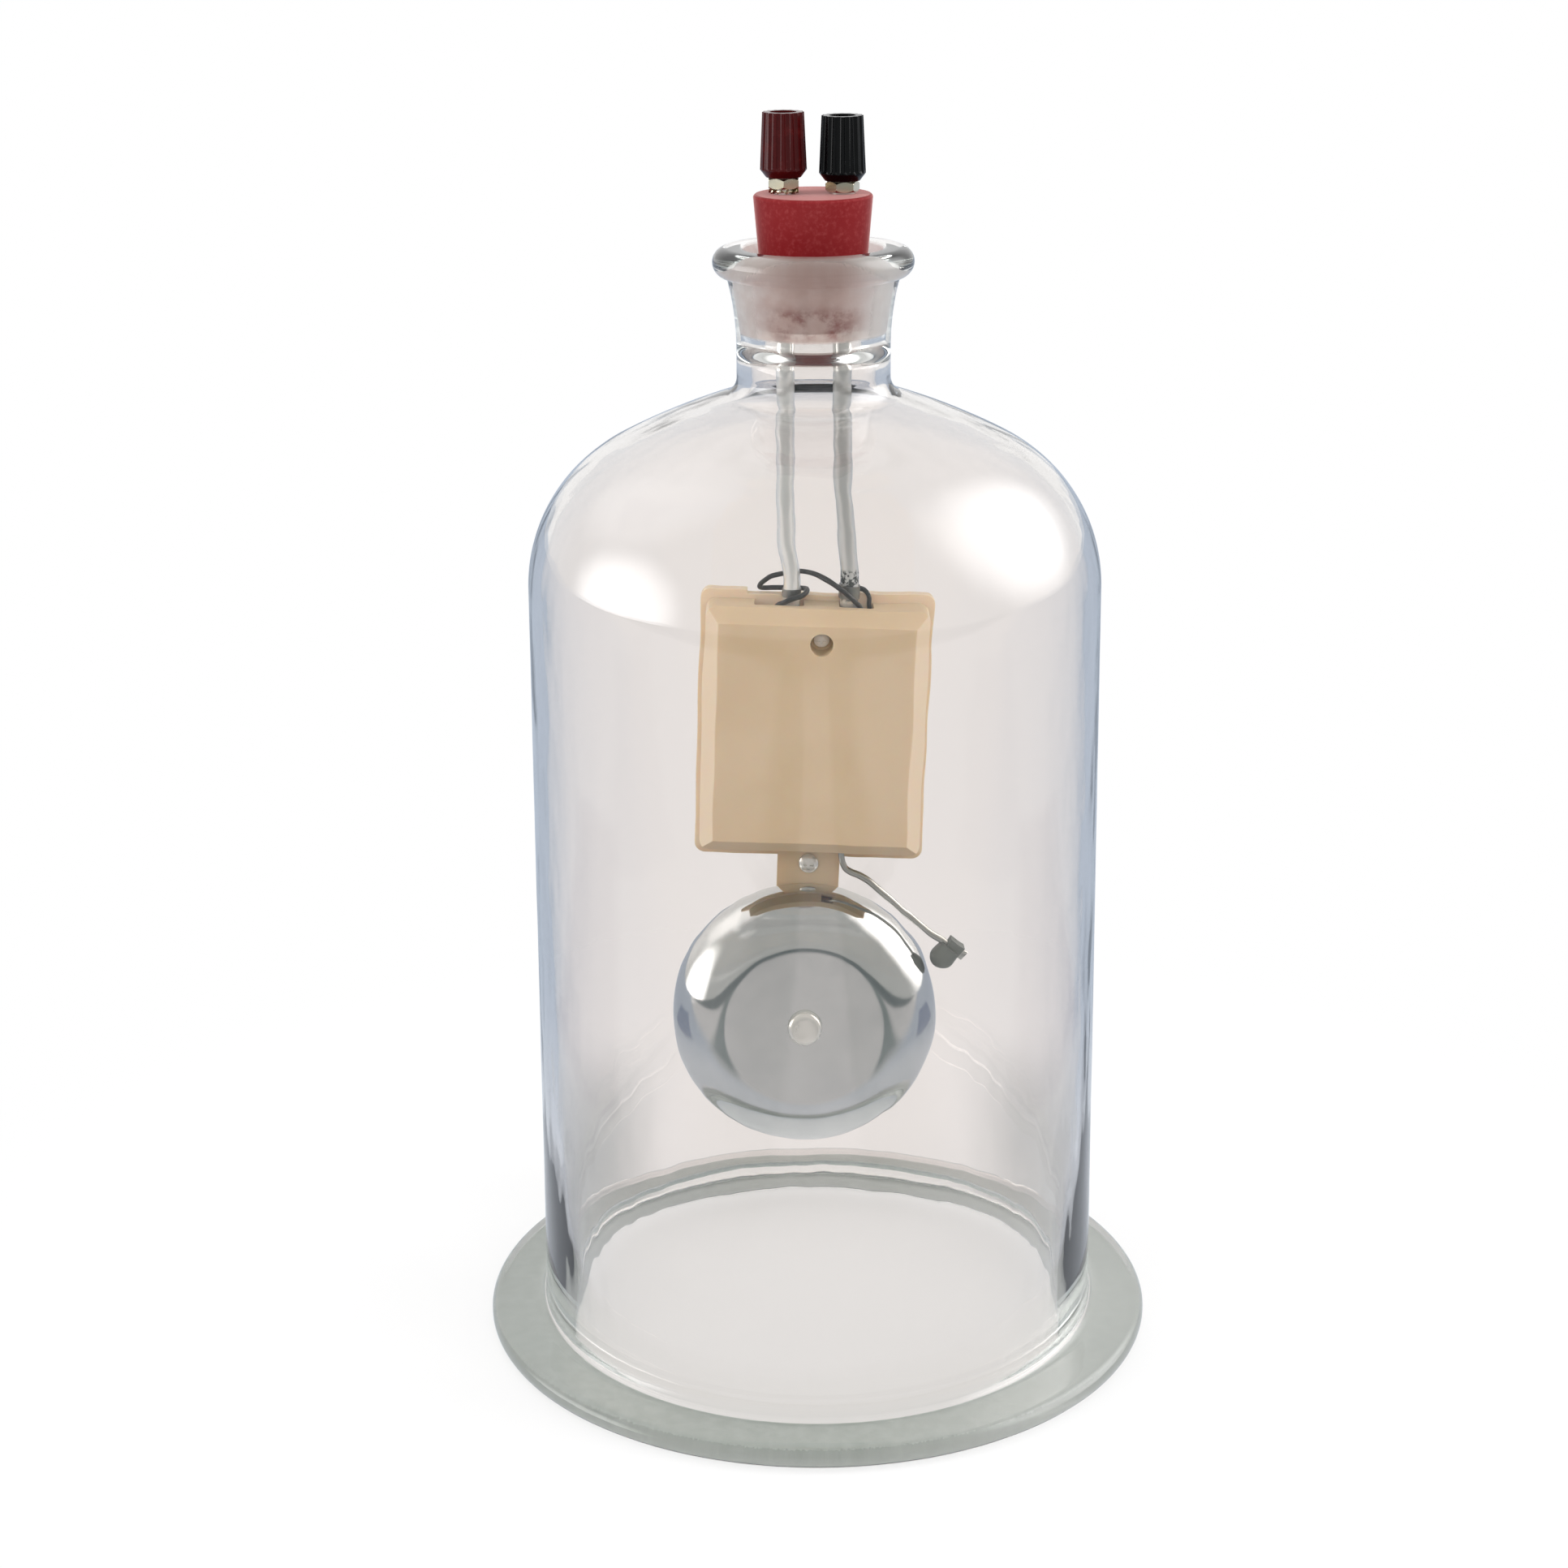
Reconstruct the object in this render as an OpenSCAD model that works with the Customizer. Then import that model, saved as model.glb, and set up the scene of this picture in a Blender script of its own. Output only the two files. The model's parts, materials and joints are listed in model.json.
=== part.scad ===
// Bell jar with an electric bell hung inside on two rods through a rubber stopper.
// Origin: centre of the ground face of the glass flange. +Z is up, the bell faces -Y.

/* [Glass jar] */
// Height of the glass, from its ground face to the top of the rim
jar_h = 316; // [308:1:326]
// Outer diameter of the wall just above the flange
jar_foot_d = 162; // [160:0.5:166]
// Outer diameter of the wall where the shoulder begins
jar_top_d = 158.6; // [157:0.2:160]
// Thickness of the glass wall
glass_t = 4; // [3.4:0.1:4.6]
// Radius of the turn from the wall into the shoulder
shoulder_r = 45; // [43:0.5:47]
// Angle of that turn, after which the flatter dome begins
shoulder_turn = 62; // [60:0.5:64]
// Radius of the flatter dome
dome_r = 200; // [180:5:230]
// Outer diameter of the flange
flange_d = 195; // [190:1:204]
// Thickness of the flange
flange_t = 6.5; // [5.6:0.1:7.6]
// Radius of the fillet between the flange and the wall
flange_fillet = 4; // [3:0.2:5]

/* [Neck of the jar] */
// Outer diameter of the neck at its waist
neck_d = 41.8; // [41:0.2:43]
// Height of the neck, from the middle of its root fillet to the top of the rim
neck_h = 35; // [32:0.5:38]
// Radius of the fillet at the root of the neck
neck_fillet = 5; // [4:0.2:6]
// Distance from the waist up to the top of the rim
waist_drop = 27; // [25:0.5:29]
// How much the radius grows from the waist to the rim
neck_flare = 2.5; // [1.8:0.1:3]
// Outer diameter of the rounded rim
rim_d = 54.4; // [54:0.2:56]
// Radius of the rim's rounding
rim_r = 4; // [3.6:0.1:4.2]
// Radius of the flared mouth inside the rim
mouth_r = 19.2; // [18.6:0.1:19.6]
// Depth of the flared mouth, down to the ground seat
mouth_depth = 7.5; // [6.5:0.1:8.5]
// Height of the ground seat for the stopper
seat_h = 17.5; // [15:0.5:19]

/* [Rubber stopper] */
// Diameter of the stopper's top face
stopper_top_d = 32.2; // [31.6:0.1:33]
// Diameter of the stopper's bottom face
stopper_bottom_d = 26.2; // [25.4:0.1:26.8]
// Height of the stopper
stopper_h = 35; // [32:0.5:37]
// How far the stopper stands above the rim
stopper_out = 14; // [12:0.5:16]

/* [Rods and posts] */
// Diameter of each rod
rod_d = 5; // [4.8:0.1:5.2]
// Distance between the rods in the stopper
rod_spacing = 15.7; // [15.2:0.1:16.4]
// Distance between the rods inside the case
clamp_spacing = 15.9; // [15.6:0.1:16.2]
// Distance from the stopper's top down to the middle of the bell's base plate
hang = 149; // [144:1:152]
// Height above the base plate's middle where the left rod becomes upright
left_bend = 54; // [53:0.5:62]
// Height above the base plate's middle where the right rod becomes upright
right_bend = 70; // [60:1:78]
// Width across the flats of the hexagon nuts
nut_af = 8; // [7.8:0.1:8.4]
// Thickness of the hexagon nuts
nut_t = 2.7; // [2.4:0.1:3]
// Thickness of the toothed washer under the red post's nut
star_t = 1.5; // [1.4:0.05:1.7]
// Number of teeth on that washer
star_teeth = 10; // [8:1:12]
// Thickness of the plain washer under the black post's nut
washer_t = 0.5; // [0.4:0.1:0.8]
// Height of each post cap
cap_h = 17; // [16.5:0.5:19]
// Diameter of the cap at its top
cap_top_d = 11.1; // [10.9:0.1:11.5]
// Diameter of the cap at its widest, near the bottom
cap_low_d = 12.5; // [12.2:0.1:12.8]
// Diameter of the cap's bottom face
cap_foot_d = 9.4; // [9:0.1:9.8]
// Number of flutes round each cap
flutes = 16; // [14:1:18]
// Diameter of the plug socket in the top of each post
socket_d = 4; // [3.9:0.05:4.2]
// Depth of the plug socket
socket_depth = 8.5; // [7.5:0.1:9]
// Outer diameter of the brass socket sleeve
sleeve_d = 7; // [6.8:0.1:7.2]
// How far the sleeve's top lies below the cap's top
sleeve_sink = 1.5; // [1:0.1:1.8]

/* [Bell case] */
// Lean of the hanging bell to the right, in degrees
bell_lean = 2.4; // [0:0.1:3]
// Width of the base plate
plate_w = 65.6; // [64.8:0.2:67]
// Height of the base plate
plate_h = 78; // [77:0.5:80]
// Thickness of the base plate
plate_t = 3.5; // [3.2:0.1:4]
// Depth that the middle of the plate's top edge is cut down
plate_dip = 1.2; // [0.8:0.1:1.6]
// Width of the tongue below the plate
tongue_w = 17.7; // [17:0.1:18.6]
// Length of the tongue below the plate
tongue_l = 21; // [18:1:24]
// Width of the cover
cover_w = 62.6; // [62:0.2:63.2]
// Height of the cover
cover_h = 71; // [70.4:0.2:72]
// How far the cover's middle lies above the plate's middle
cover_up = 0.9; // [0.6:0.1:1.2]
// Depth of the cover's straight sides
cover_side = 9.8; // [9.6:0.1:10.4]
// Depth of the cover's bevel
bevel_d = 4.5; // [4.2:0.1:5]
// Width of the cover's bevel
bevel_w = 4; // [3.6:0.1:4.4]
// Thickness of the cover's walls
cover_t = 1.8; // [1.6:0.1:2]
// Diameter of the screw well in the cover
well_d = 6.4; // [6.2:0.1:6.6]
// Wall of the screw well
well_wall = 1; // [0.8:0.1:1.1]
// Height of the screw well above the plate's middle
well_z = 27; // [26.6:0.1:27.4]

/* [Gong] */
// Outer diameter of the gong
gong_d = 76.2; // [75:0.2:77]
// Depth of the gong
gong_depth = 17.2; // [16.8:0.2:18.4]
// Radius of the gong's shoulder
gong_turn_r = 16; // [15:0.2:16.6]
// Height of the straight rim before that shoulder
gong_lip = 1.5; // [1:0.1:2]
// Thickness of the gong's metal
gong_t = 1.2; // [1:0.1:1.5]
// Distance from the plate's middle down to the gong's middle
gong_drop = 85.2; // [84.6:0.2:86.4]
// Gap between the top of the gong's rim and the front of the tongue
gong_gap = 2; // [1.6:0.1:2.4]
// How far the gong leans back, by a bend in its strip, in degrees
gong_tip = 6; // [0:0.5:7]
// Diameter of the post that carries the gong
post_d = 7; // [6.4:0.1:8]
// Width of the steel strip that carries the post
strip_w = 14; // [13:0.2:15]
// Thickness of that strip
strip_t = 1.5; // [1.2:0.1:1.7]
// Diameter of the gong screw's head
gong_head_d = 9.7; // [9:0.1:10.4]

/* [Striking movement] */
// Diameter of each coil
coil_d = 9.4; // [8.8:0.1:9.4]
// Length of each coil
coil_l = 23.4; // [22:0.2:24]
// Distance between the two coils' axes
coil_pitch = 16; // [15.6:0.1:17]
// Diameter of the iron cores
core_d = 5; // [4.6:0.1:5.2]
// Gap between the cores and the resting armature
air_gap = 1.4; // [1.35:0.05:1.6]
// Thickness of the armature
armature_t = 2.2; // [2:0.1:2.3]
// Width of the armature
armature_w = 8; // [7.4:0.1:8.6]
// Thickness of the armature's leaf spring
leaf_t = 0.3; // [0.2:0.05:0.4]
// Height of the spring's root above the plate's middle
hinge_z = 8; // [7.6:0.1:8.4]
// Diameter of the contact screw
contact_d = 3; // [2.8:0.1:3.2]
// Diameter of the hammer wire
wire_d = 2; // [1.8:0.1:2.2]
// Diameter of the striker's round head
striker_d = 7; // [6.6:0.1:7.4]
// Length of the striker below the wire
striker_l = 7.2; // [6.6:0.1:7.4]
// Diameter of the insulated leads
lead_d = 1.5; // [1.2:0.1:1.6]

/* [Hidden] */
$fn = 64;
fit = 0.05;
apart = 0.3;
seat_gap = 0.1;
over = 1;
arc_steps = 12;

// Jar outline: centres of the arcs that meet without a corner
foot_r = jar_foot_d / 2;
top_r = jar_top_d / 2;
neck_r = neck_d / 2;
neck_in = neck_r - glass_t;
root_x = neck_r + neck_fillet;
root_z = jar_h - neck_h;
dome_x = top_r - shoulder_r - (dome_r - shoulder_r) * cos(shoulder_turn);
dome_z = root_z - sqrt(pow(dome_r + neck_fillet, 2) - pow(root_x - dome_x, 2));
shoulder_z = dome_z + (dome_r - shoulder_r) * sin(shoulder_turn);
root_turn = atan2(root_z - dome_z, root_x - dome_x);
flange_turn = 80;
rim_turn = 76;
mouth_turn = 155;
rim_z = jar_h - rim_r;
rim_x = rim_d / 2 - rim_r;
waist_z = jar_h - waist_drop;
flare_h = rim_z - rim_r - waist_z;
flare_r = (flare_h * flare_h + neck_flare * neck_flare) / (2 * neck_flare);
foot_round = 3;
mouth_round = 2;
seat_top = jar_h - mouth_depth;
seat_bottom = seat_top - seat_h;
seat_ease = 6;

// Stopper
stopper_top = jar_h + stopper_out;
stopper_bottom = stopper_top - stopper_h;
stopper_edge = 0.6;
function stopper_r(z) = stopper_bottom_d / 2
    + (stopper_top_d - stopper_bottom_d) / 2 * (z - stopper_bottom) / stopper_h;

// Posts on the rods' threaded ends
rod_r = rod_d / 2;
rod_bore = rod_r + fit;
cap_gap = 0.2;
cap_bevel_h = 2;
flute_r = 1;
flute_cut = 0.5;
flute_foot = 2.8;
thread_depth = 6.6;
thread_spare = 0.3;
red_nut_z = stopper_top + star_t;
black_nut_z = stopper_top + washer_t;
red_cap_z = red_nut_z + nut_t + cap_gap;
black_cap_z = black_nut_z + nut_t + cap_gap;
star_ring_r = nut_af / 2 - 1;
star_ring_t = 0.5;
star_tooth = [1.6, 1.3, 0.45];
star_tooth_in = 0.2;
star_twist = 38;
washer_r = nut_af / 2 - 0.4;
red_nut_turn = 30;
black_nut_turn = 8;

// The bell's own frame: middle of the base plate, leaning about Y
bell_x = -0.5;
bell_z = stopper_top - hang;
plate_y = 2.6;
plate_round = 3;
plate_back = plate_y + plate_t;
cover_top = cover_up + cover_h / 2;
cover_bottom = cover_up - cover_h / 2;
cover_front = plate_y - cover_side - bevel_d;
cover_round = 3;
rod_mid = 0.45;
left_x = rod_mid - clamp_spacing / 2;
right_x = rod_mid + clamp_spacing / 2;
rod_end = 14;
left_knee = 43.6;
right_knee = 46;
rod_bend_r = 30;
bend_over = 1;
bend_thin = 0.02;
well_x = 1.2;
well_floor = 1.5;
pillar_top = -3.9;
pillar_d = 7;
cover_screw_d = 2.5;
cover_screw_l = 8;
cover_screw_head_r = 2.1;
cover_screw_head_h = 1.8;
cover_screw_slot = 0.3;
screw_skin = 0.8;
lip_t = 1.2;
lip_h = 1.4;
notch_front = -4.4;
notch_round = 1.2;
left_notch = [-18, -3.9];
right_notch = [5.8, 15.5];
dip_from = -19.8;
dip_to = 11;
lip_inner_round = 1;
lip_slot = [-6, 3];
wire_slot_side = [2.2, 0.8];
wire_slot_front = 0.8;

// Gong and its strip
gong_r = gong_d / 2;
gong_x = 0.5;
gong_hole_r = 2.3;
strip_top = -34;
strip_y = plate_back - strip_t;
strip_bend = -plate_h / 2 - tongue_l - 0.5;
gong_reach = gong_drop + strip_bend;
gong_rim_y = -(strip_y - plate_y + gong_gap + (gong_r - gong_reach) * sin(gong_tip)) / cos(gong_tip);
gong_face_y = gong_rim_y - gong_depth;
strip_end_r = strip_w / 2;
strip_screw_z = -41.2;
spigot_r = 2.2;
spigot_head = 1.2;
spigot_spread = 1.2;
gong_screw_r = 2;
gong_screw_l = 11;
gong_head_h = 2.6;
gong_head_round = 1.4;
gong_screw_grip = 0.5;
m3_r = 1.5;
m3_head_r = 2.8;
m3_head_h = 1.8;
frame_head_r = 2.5;
strip_head_h = 2;
m3_nut_af = 5.5;
m3_nut_t = 2.3;
m3_hole_r = m3_r + 0.2;
screw_spare = 1;
screw_bite = 2.4;
spigot_core = 0.5;

// Striking movement, about one level in front of the plate
move_y = -4.6;
coil_z = -12;
bobbin_end = 1;
bobbin_d = coil_d + 0.8;
bobbin_wall = 0.6;
pole_out = 1.6;
core_rivet = 0.6;
foot_t = 1.5;
yoke_t = 2;
yoke_w = 9;
yoke_foot = 6.4;
armature_x = 7.6;
pole_x = armature_x - air_gap;
coil_x = pole_x - pole_out - coil_l;
yoke_x = coil_x - fit;
yoke_reach = coil_pitch / 2 + 6;
yoke_screw_x = yoke_x - yoke_t - yoke_foot / 2 + 0.6;
armature_top = 4.5;
armature_bottom = -23.2;
wire_x = 9.2;
boss_w = 4;
boss_h = 5.8;
spring_x = armature_x + armature_t;
spring_w = 6;
spring_foot_z = -2;
root_in = 2;
root_slot = 0.35;
rivet_z = 1;
rivet_pitch = 3.4;
rivet_r = 0.8;
rivet_head_r = 1.3;
rivet_head_h = 0.6;
rivet_edge = 1.6;
contact_z = -6;
contact_leaf_t = 0.25;
contact_leaf_end = -9;
contact_tip_t = 0.8;
contact_tip_r = 1.4;
tip_x = spring_x + leaf_t + contact_leaf_t + contact_tip_t + apart;
contact_l = 13;
contact_head_r = 3;
contact_head_l = 3;
contact_post_x = 17;
contact_post_t = 2.6;
contact_post_w = 8;
contact_post_front = 3.4;
contact_foot_l = 8;
contact_foot_w = 6.8;
contact_point_l = 1.2;
contact_neck = 0.7;
contact_slot = [1, 0.4];
bracket_x = spring_x - 1.4;
bracket_low = hinge_z - 1.5;
bracket_front = 3.6;
bracket_w = 5;
bracket_h = 6;
bracket_foot = 13;
clamp_z = 18.4;
clamp_h = 6;
clamp_wall = 2.4;
clamp_front = 2.4;

// Outline of the hammer wire, and the routes of the leads, in the bell's own frame
wire_route = [[9.2, -4.6, -24], [9.2, -4.6, -30], [9.15, -4.6, -34], [9.2, -4.6, -36],
    [9.6, -4.6, -38], [10.6, -4.6, -39.8], [12.2, -4.6, -40.8], [14.4, -4.6, -41.7],
    [17, -4.6, -43.2], [19.2, -4.6, -45], [23.4, -4.6, -48.6], [31.4, -4.6, -55.4],
    [34, -4.6, -57.4], [38, -4.6, -60.1], [42, -4.6, -62.9], [46, -4.6, -65.6]];
striker_at = [42, -4.6, -62.9];
striker_turn = 34.5;
striker_grip = [1.7, 3.1, 2.1, 2.4];
right_solder = [38.2, 42, 0.4];
left_solder = [38, 40.3, 0.25];
solder_fit = 0.02;
link_r = 0.5;
link_in = 3;
left_route = [[-13, -4.6, 1.5], [-14, -4.4, 6], [-15.4, -3.6, 14], [-15.2, -2.6, 24],
    [-13.2, -1.8, 31], [-11.6, -2.4, 35.4], [-9.6, -3.8, 37], [-6.8, -4.3, 38.4],
    [-4.5, -3.4, 39], [-3.3, -1.2, 39.6], [-3.3, 1.2, 39.8], [-4.8, 3, 39.6],
    [-7.1, 3.54, 39.4]];
right_route = [[10, 3.35, 40.6], [12.6, 2.4, 40.1], [14.2, 0.8, 38.6], [14.3, 0.6, 35.6],
    [15.6, 0.8, 31], [18.8, 0.6, 22], [21.4, -1.2, 10], [19.2, -3.6, 3],
    [18.3, -4.6, 0.2], [18.3, -4.6, -1.95]];
long_route = [[-7.6, 3.54, 39.4], [-9.8, 4.3, 39.4], [-12.6, 5, 39.2], [-15.2, 5.4, 39],
    [-16.7, 4.9, 39.4], [-16.4, 4.2, 40.6], [-15.1, 4, 41.7], [-12.9, 4, 43],
    [-8, 4, 44.2], [-4.8, 3.4, 44.6], [-0.6, 0.6, 44.3], [2.9, -2.4, 43],
    [6.1, -4, 41.3], [8.8, -4.1, 39], [11, -3.2, 36.8], [12.2, -2.9, 34.6],
    [13.6, -2.6, 30], [20, -2.4, 22], [26, -2.4, 10], [27.3, -1.6, -6],
    [26, 0.2, -22], [20, 1.4, -29.4], [10, 1.5, -30.4], [2, 0.4, -30],
    [-1.4, -2.6, -28.4], [-2, -4.6, -26.2]];
link_route = [[2, -4.6, 1.4], [2.2, -4.6, 4], [4, -4.6, 7.4], [6, -4.6, 9.2],
    [8, -4.6, 9.6]];

// Colours
glass_c = [0.86, 0.89, 0.88, 0.35];
red_rubber = [0.62, 0.12, 0.12];
cream = [0.86, 0.76, 0.62];
steel_c = [0.74, 0.75, 0.75];
bright_c = [0.82, 0.84, 0.86];
brass_c = [0.85, 0.78, 0.55];
dark_red = [0.32, 0.06, 0.06];
black_c = [0.06, 0.06, 0.07];
iron_c = [0.5, 0.5, 0.5];
copper_c = [0.72, 0.4, 0.2];
fibre_c = [0.5, 0.33, 0.2];

// Points along an arc, from angle a to angle b
function arc(x, y, r, a, b, n = arc_steps) =
    [for (i = [0:n]) let (t = a + (b - a) * i / n) [x + r * cos(t), y + r * sin(t)]];

// Easing from 0 to 1 and flat at both ends
function ease(u) = 0.5 - 0.5 * cos(180 * u);

// A curve through hand-placed points, with n steps between each pair
function curve_at(a, b, c, d, t) = 0.5 * (2 * b + (c - a) * t
    + (2 * a - 5 * b + 4 * c - d) * t * t + (3 * b - a - 3 * c + d) * t * t * t);
function curve(p, n) = let (m = len(p) - 1) concat(
    [for (i = [0:m - 1]) for (k = [0:n - 1])
        curve_at(p[max(i - 1, 0)], p[i], p[i + 1], p[min(i + 2, m)], k / n)], [p[m]]);

function unit(v) = v / norm(v);
function heading(p, i) = unit(i == 0 ? p[1] - p[0]
    : i == len(p) - 1 ? p[i] - p[i - 1]
    : unit(p[i + 1] - p[i]) + unit(p[i] - p[i - 1]));
function carried(u, t) = unit(u - (u * t) * t);
function side_vectors(p, start) = [for (i = 0, u = carried(start, heading(p, 0));
    i < len(p); i = i + 1, u = i < len(p) ? carried(u, heading(p, i)) : u) u];

// Round tube swept along a list of points
module tube(p, r, n, start) {
    m = len(p);
    side = side_vectors(p, start);
    points = [for (i = [0:m - 1]) let (t = heading(p, i), u = side[i], v = cross(t, u))
        for (k = [0:n - 1]) p[i] + r * (cos(360 * k / n) * u + sin(360 * k / n) * v)];
    walls = [for (i = [0:m - 2]) for (k = [0:n - 1]) let (j = (k + 1) % n)
        each [[i * n + k, i * n + n + k, i * n + n + j], [i * n + k, i * n + n + j, i * n + j]]];
    first = [for (k = [1:n - 2]) [0, k, k + 1]];
    last = [for (k = [1:n - 2]) [(m - 1) * n, (m - 1) * n + k + 1, (m - 1) * n + k]];
    polyhedron(points = points, faces = concat(walls, first, last));
}

// Place a shape given in the bell's own frame
module in_bell() {
    translate([bell_x, 0, bell_z])
        rotate([0, bell_lean, 0])
            children();
}
function bell_point(x, y, z) = [bell_x + x * cos(bell_lean) + z * sin(bell_lean), y,
    bell_z - x * sin(bell_lean) + z * cos(bell_lean)];

// Cylinder along Y, from y = a to y = b
module bar_y(r, a, b, x = 0, z = 0) {
    translate([x, b, z])
        rotate([90, 0, 0])
            cylinder(r = r, h = b - a);
}

// Cylinder along X, from x = a to x = b
module bar_x(r, a, b, y = 0, z = 0) {
    translate([a, y, z])
        rotate([0, 90, 0])
            cylinder(r = r, h = b - a);
}

// Box given by its low and high corners
module block(low, high) {
    translate(low)
        cube(high - low);
}

module round_rect(w, h, r) {
    square([w - 2 * r, h], center = true);
    square([w, h - 2 * r], center = true);
    for (x = [-1, 1], y = [-1, 1])
        translate([x * (w / 2 - r), y * (h / 2 - r)])
            circle(r = r);
}

// Upright slab with rounded corners, from y = a to y = b
module slab(w, h, r, a, b) {
    translate([0, b, 0])
        rotate([90, 0, 0])
            linear_extrude(height = b - a)
                round_rect(w, h, r);
}

// Screw along Y whose head's underside is at y = 0 and whose head faces -Y
module pan_screw(shank_r, shank_l, head_r, head_h, cut = 0.45) {
    difference() {
        union() {
            bar_y(shank_r, -0.01, shank_l);
            rotate([90, 0, 0])
                rotate_extrude()
                    intersection() {
                        square([head_r, head_h]);
                        translate([0, head_h - head_r * 1.5])
                            circle(r = head_r * 1.5);
                    }
        }
        for (a = [0, 90])
            rotate([0, a, 0])
                block([-cut, -head_h - over, -head_r * 0.55], [cut, -head_h * 0.45, head_r * 0.55]);
    }
}

// Hexagon nut with bevelled corners, standing on z = 0
module hex_nut(af, t, bore_r) {
    corner = af / 2 / cos(30);
    difference() {
        intersection() {
            cylinder(r = corner, h = t, $fn = 6);
            union() {
                cylinder(r1 = af / 2, r2 = corner + 0.1, h = t / 4);
                translate([0, 0, t / 4])
                    cylinder(r = corner + 0.1, h = t / 2);
                translate([0, 0, t * 3 / 4])
                    cylinder(r1 = corner + 0.1, r2 = af / 2, h = t / 4);
            }
        }
        translate([0, 0, -over])
            cylinder(r = bore_r, h = t + 2 * over);
    }
}

// Jar
function jar_outside() = concat(
    [[flange_d / 2 - flange_t / 2, 0]],
    arc(flange_d / 2 - flange_t / 2, flange_t / 2, flange_t / 2, -flange_turn, 90),
    arc(foot_r + flange_fillet, flange_t + flange_fillet, flange_fillet, 270, 180),
    arc(top_r - shoulder_r, shoulder_z, shoulder_r, 0, shoulder_turn, 20),
    arc(dome_x, dome_z, dome_r, shoulder_turn + 1, root_turn),
    arc(root_x, root_z, neck_fillet, 180 + root_turn + 8, 180),
    arc(neck_r + flare_r, waist_z, flare_r, 180, 180 - asin(flare_h / flare_r)),
    arc(rim_x, rim_z, rim_r, -rim_turn, 90, 16));

function jar_inside() = concat(
    arc(rim_x - mouth_round - (rim_x - mouth_round - mouth_r) / 2, jar_h - mouth_round,
        mouth_round, 90, mouth_turn, 5),
    [[stopper_r(seat_top) + seat_gap, seat_top]],
    [for (i = [0:8]) [stopper_r(seat_bottom) + seat_gap
        + (neck_in - stopper_r(seat_bottom) - seat_gap) * ease(i / 8),
        seat_bottom - seat_ease * i / 8]],
    arc(root_x, root_z, neck_fillet + glass_t, 180, 180 + root_turn),
    arc(dome_x, dome_z, dome_r - glass_t, root_turn - 1, shoulder_turn),
    arc(top_r - shoulder_r, shoulder_z, shoulder_r - glass_t, shoulder_turn - 2, 0, 20),
    arc(foot_r - glass_t + foot_round, foot_round, foot_round, 180, 270, 5));

module glass_jar() {
    color(glass_c)
        rotate_extrude($fn = 128)
            polygon(concat(jar_outside(), jar_inside()));
}

// Stopper and posts
module rubber_stopper() {
    color(red_rubber)
        difference() {
            rotate_extrude()
                polygon([[0, stopper_bottom], [stopper_bottom_d / 2 - stopper_edge, stopper_bottom],
                    [stopper_r(stopper_bottom + stopper_edge), stopper_bottom + stopper_edge],
                    [stopper_r(stopper_top - stopper_edge), stopper_top - stopper_edge],
                    [stopper_top_d / 2 - stopper_edge, stopper_top], [0, stopper_top]]);
            for (x = [-1, 1])
                translate([x * rod_spacing / 2, 0, stopper_bottom - over])
                    cylinder(r = rod_bore, h = stopper_h + 2 * over);
        }
}

// Straight piece of rod that leaves a point at a lean towards +X
module rod_run(from, lean, l) {
    translate(from)
        rotate([0, lean, 0])
            cylinder(r = rod_r, h = l);
}

// Bent piece of rod at a corner, from one lean to the next, ending a little inside its neighbours
function bend_reach(a, b) = rod_bend_r * tan(abs(b - a) / 2);
module rod_turn(corner, a, b) {
    side = b > a ? 1 : -1;
    from = corner - bend_reach(a, b) * [sin(a), 0, cos(a)];
    translate(from + side * rod_bend_r * [cos(a), 0, -sin(a)])
        rotate([90, 0, 0])
            rotate([0, 0, (side > 0 ? 180 - b : -a) - bend_over])
                rotate_extrude(angle = abs(b - a) + 2 * bend_over)
                    translate([rod_bend_r, 0])
                        circle(r = rod_r - bend_thin);
}

// Rod from its clamped end in the case up to its threaded end in a post
module rod(in_x, out_x, knee_up, bend_up, top_z) {
    foot = bell_point(in_x, 0, rod_end);
    knee = bell_point(in_x, 0, knee_up);
    bend = [out_x, 0, bell_z + bend_up];
    lean = atan2(bend[0] - knee[0], bend[2] - knee[2]);
    low = bend_reach(bell_lean, lean);
    high = bend_reach(lean, 0);
    rod_run(foot, bell_lean, knee_up - rod_end - low);
    rod_turn(knee, bell_lean, lean);
    rod_run(knee + low * [sin(lean), 0, cos(lean)], lean, norm(bend - knee) - low - high);
    rod_turn(bend, lean, 0);
    rod_run(bend + [0, 0, high], 0, top_z - bend[2] - high);
}

module red_rod() {
    color(bright_c)
        rod(left_x, -rod_spacing / 2, left_knee, left_bend, red_cap_z + thread_depth - thread_spare);
}

module black_rod() {
    color(bright_c)
        rod(right_x, rod_spacing / 2, right_knee, right_bend,
            black_cap_z + thread_depth - thread_spare);
}

module red_star_washer() {
    color(brass_c)
        translate([-rod_spacing / 2, 0, stopper_top + star_t / 2])
            difference() {
                union() {
                    translate([0, 0, -star_ring_t / 2])
                        cylinder(r = star_ring_r, h = star_ring_t);
                    for (i = [0:star_teeth - 1])
                        rotate([0, 0, i * 360 / star_teeth])
                            translate([star_ring_r + star_tooth_in, 0, 0])
                                rotate([star_twist, 0, 0])
                                    cube(star_tooth, center = true);
                }
                translate([0, 0, -star_t])
                    cylinder(r = rod_bore, h = 2 * star_t);
            }
}

module black_washer() {
    color(steel_c)
        translate([rod_spacing / 2, 0, stopper_top])
            difference() {
                cylinder(r = washer_r, h = washer_t);
                translate([0, 0, -over])
                    cylinder(r = rod_bore, h = washer_t + 2 * over);
            }
}

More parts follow.
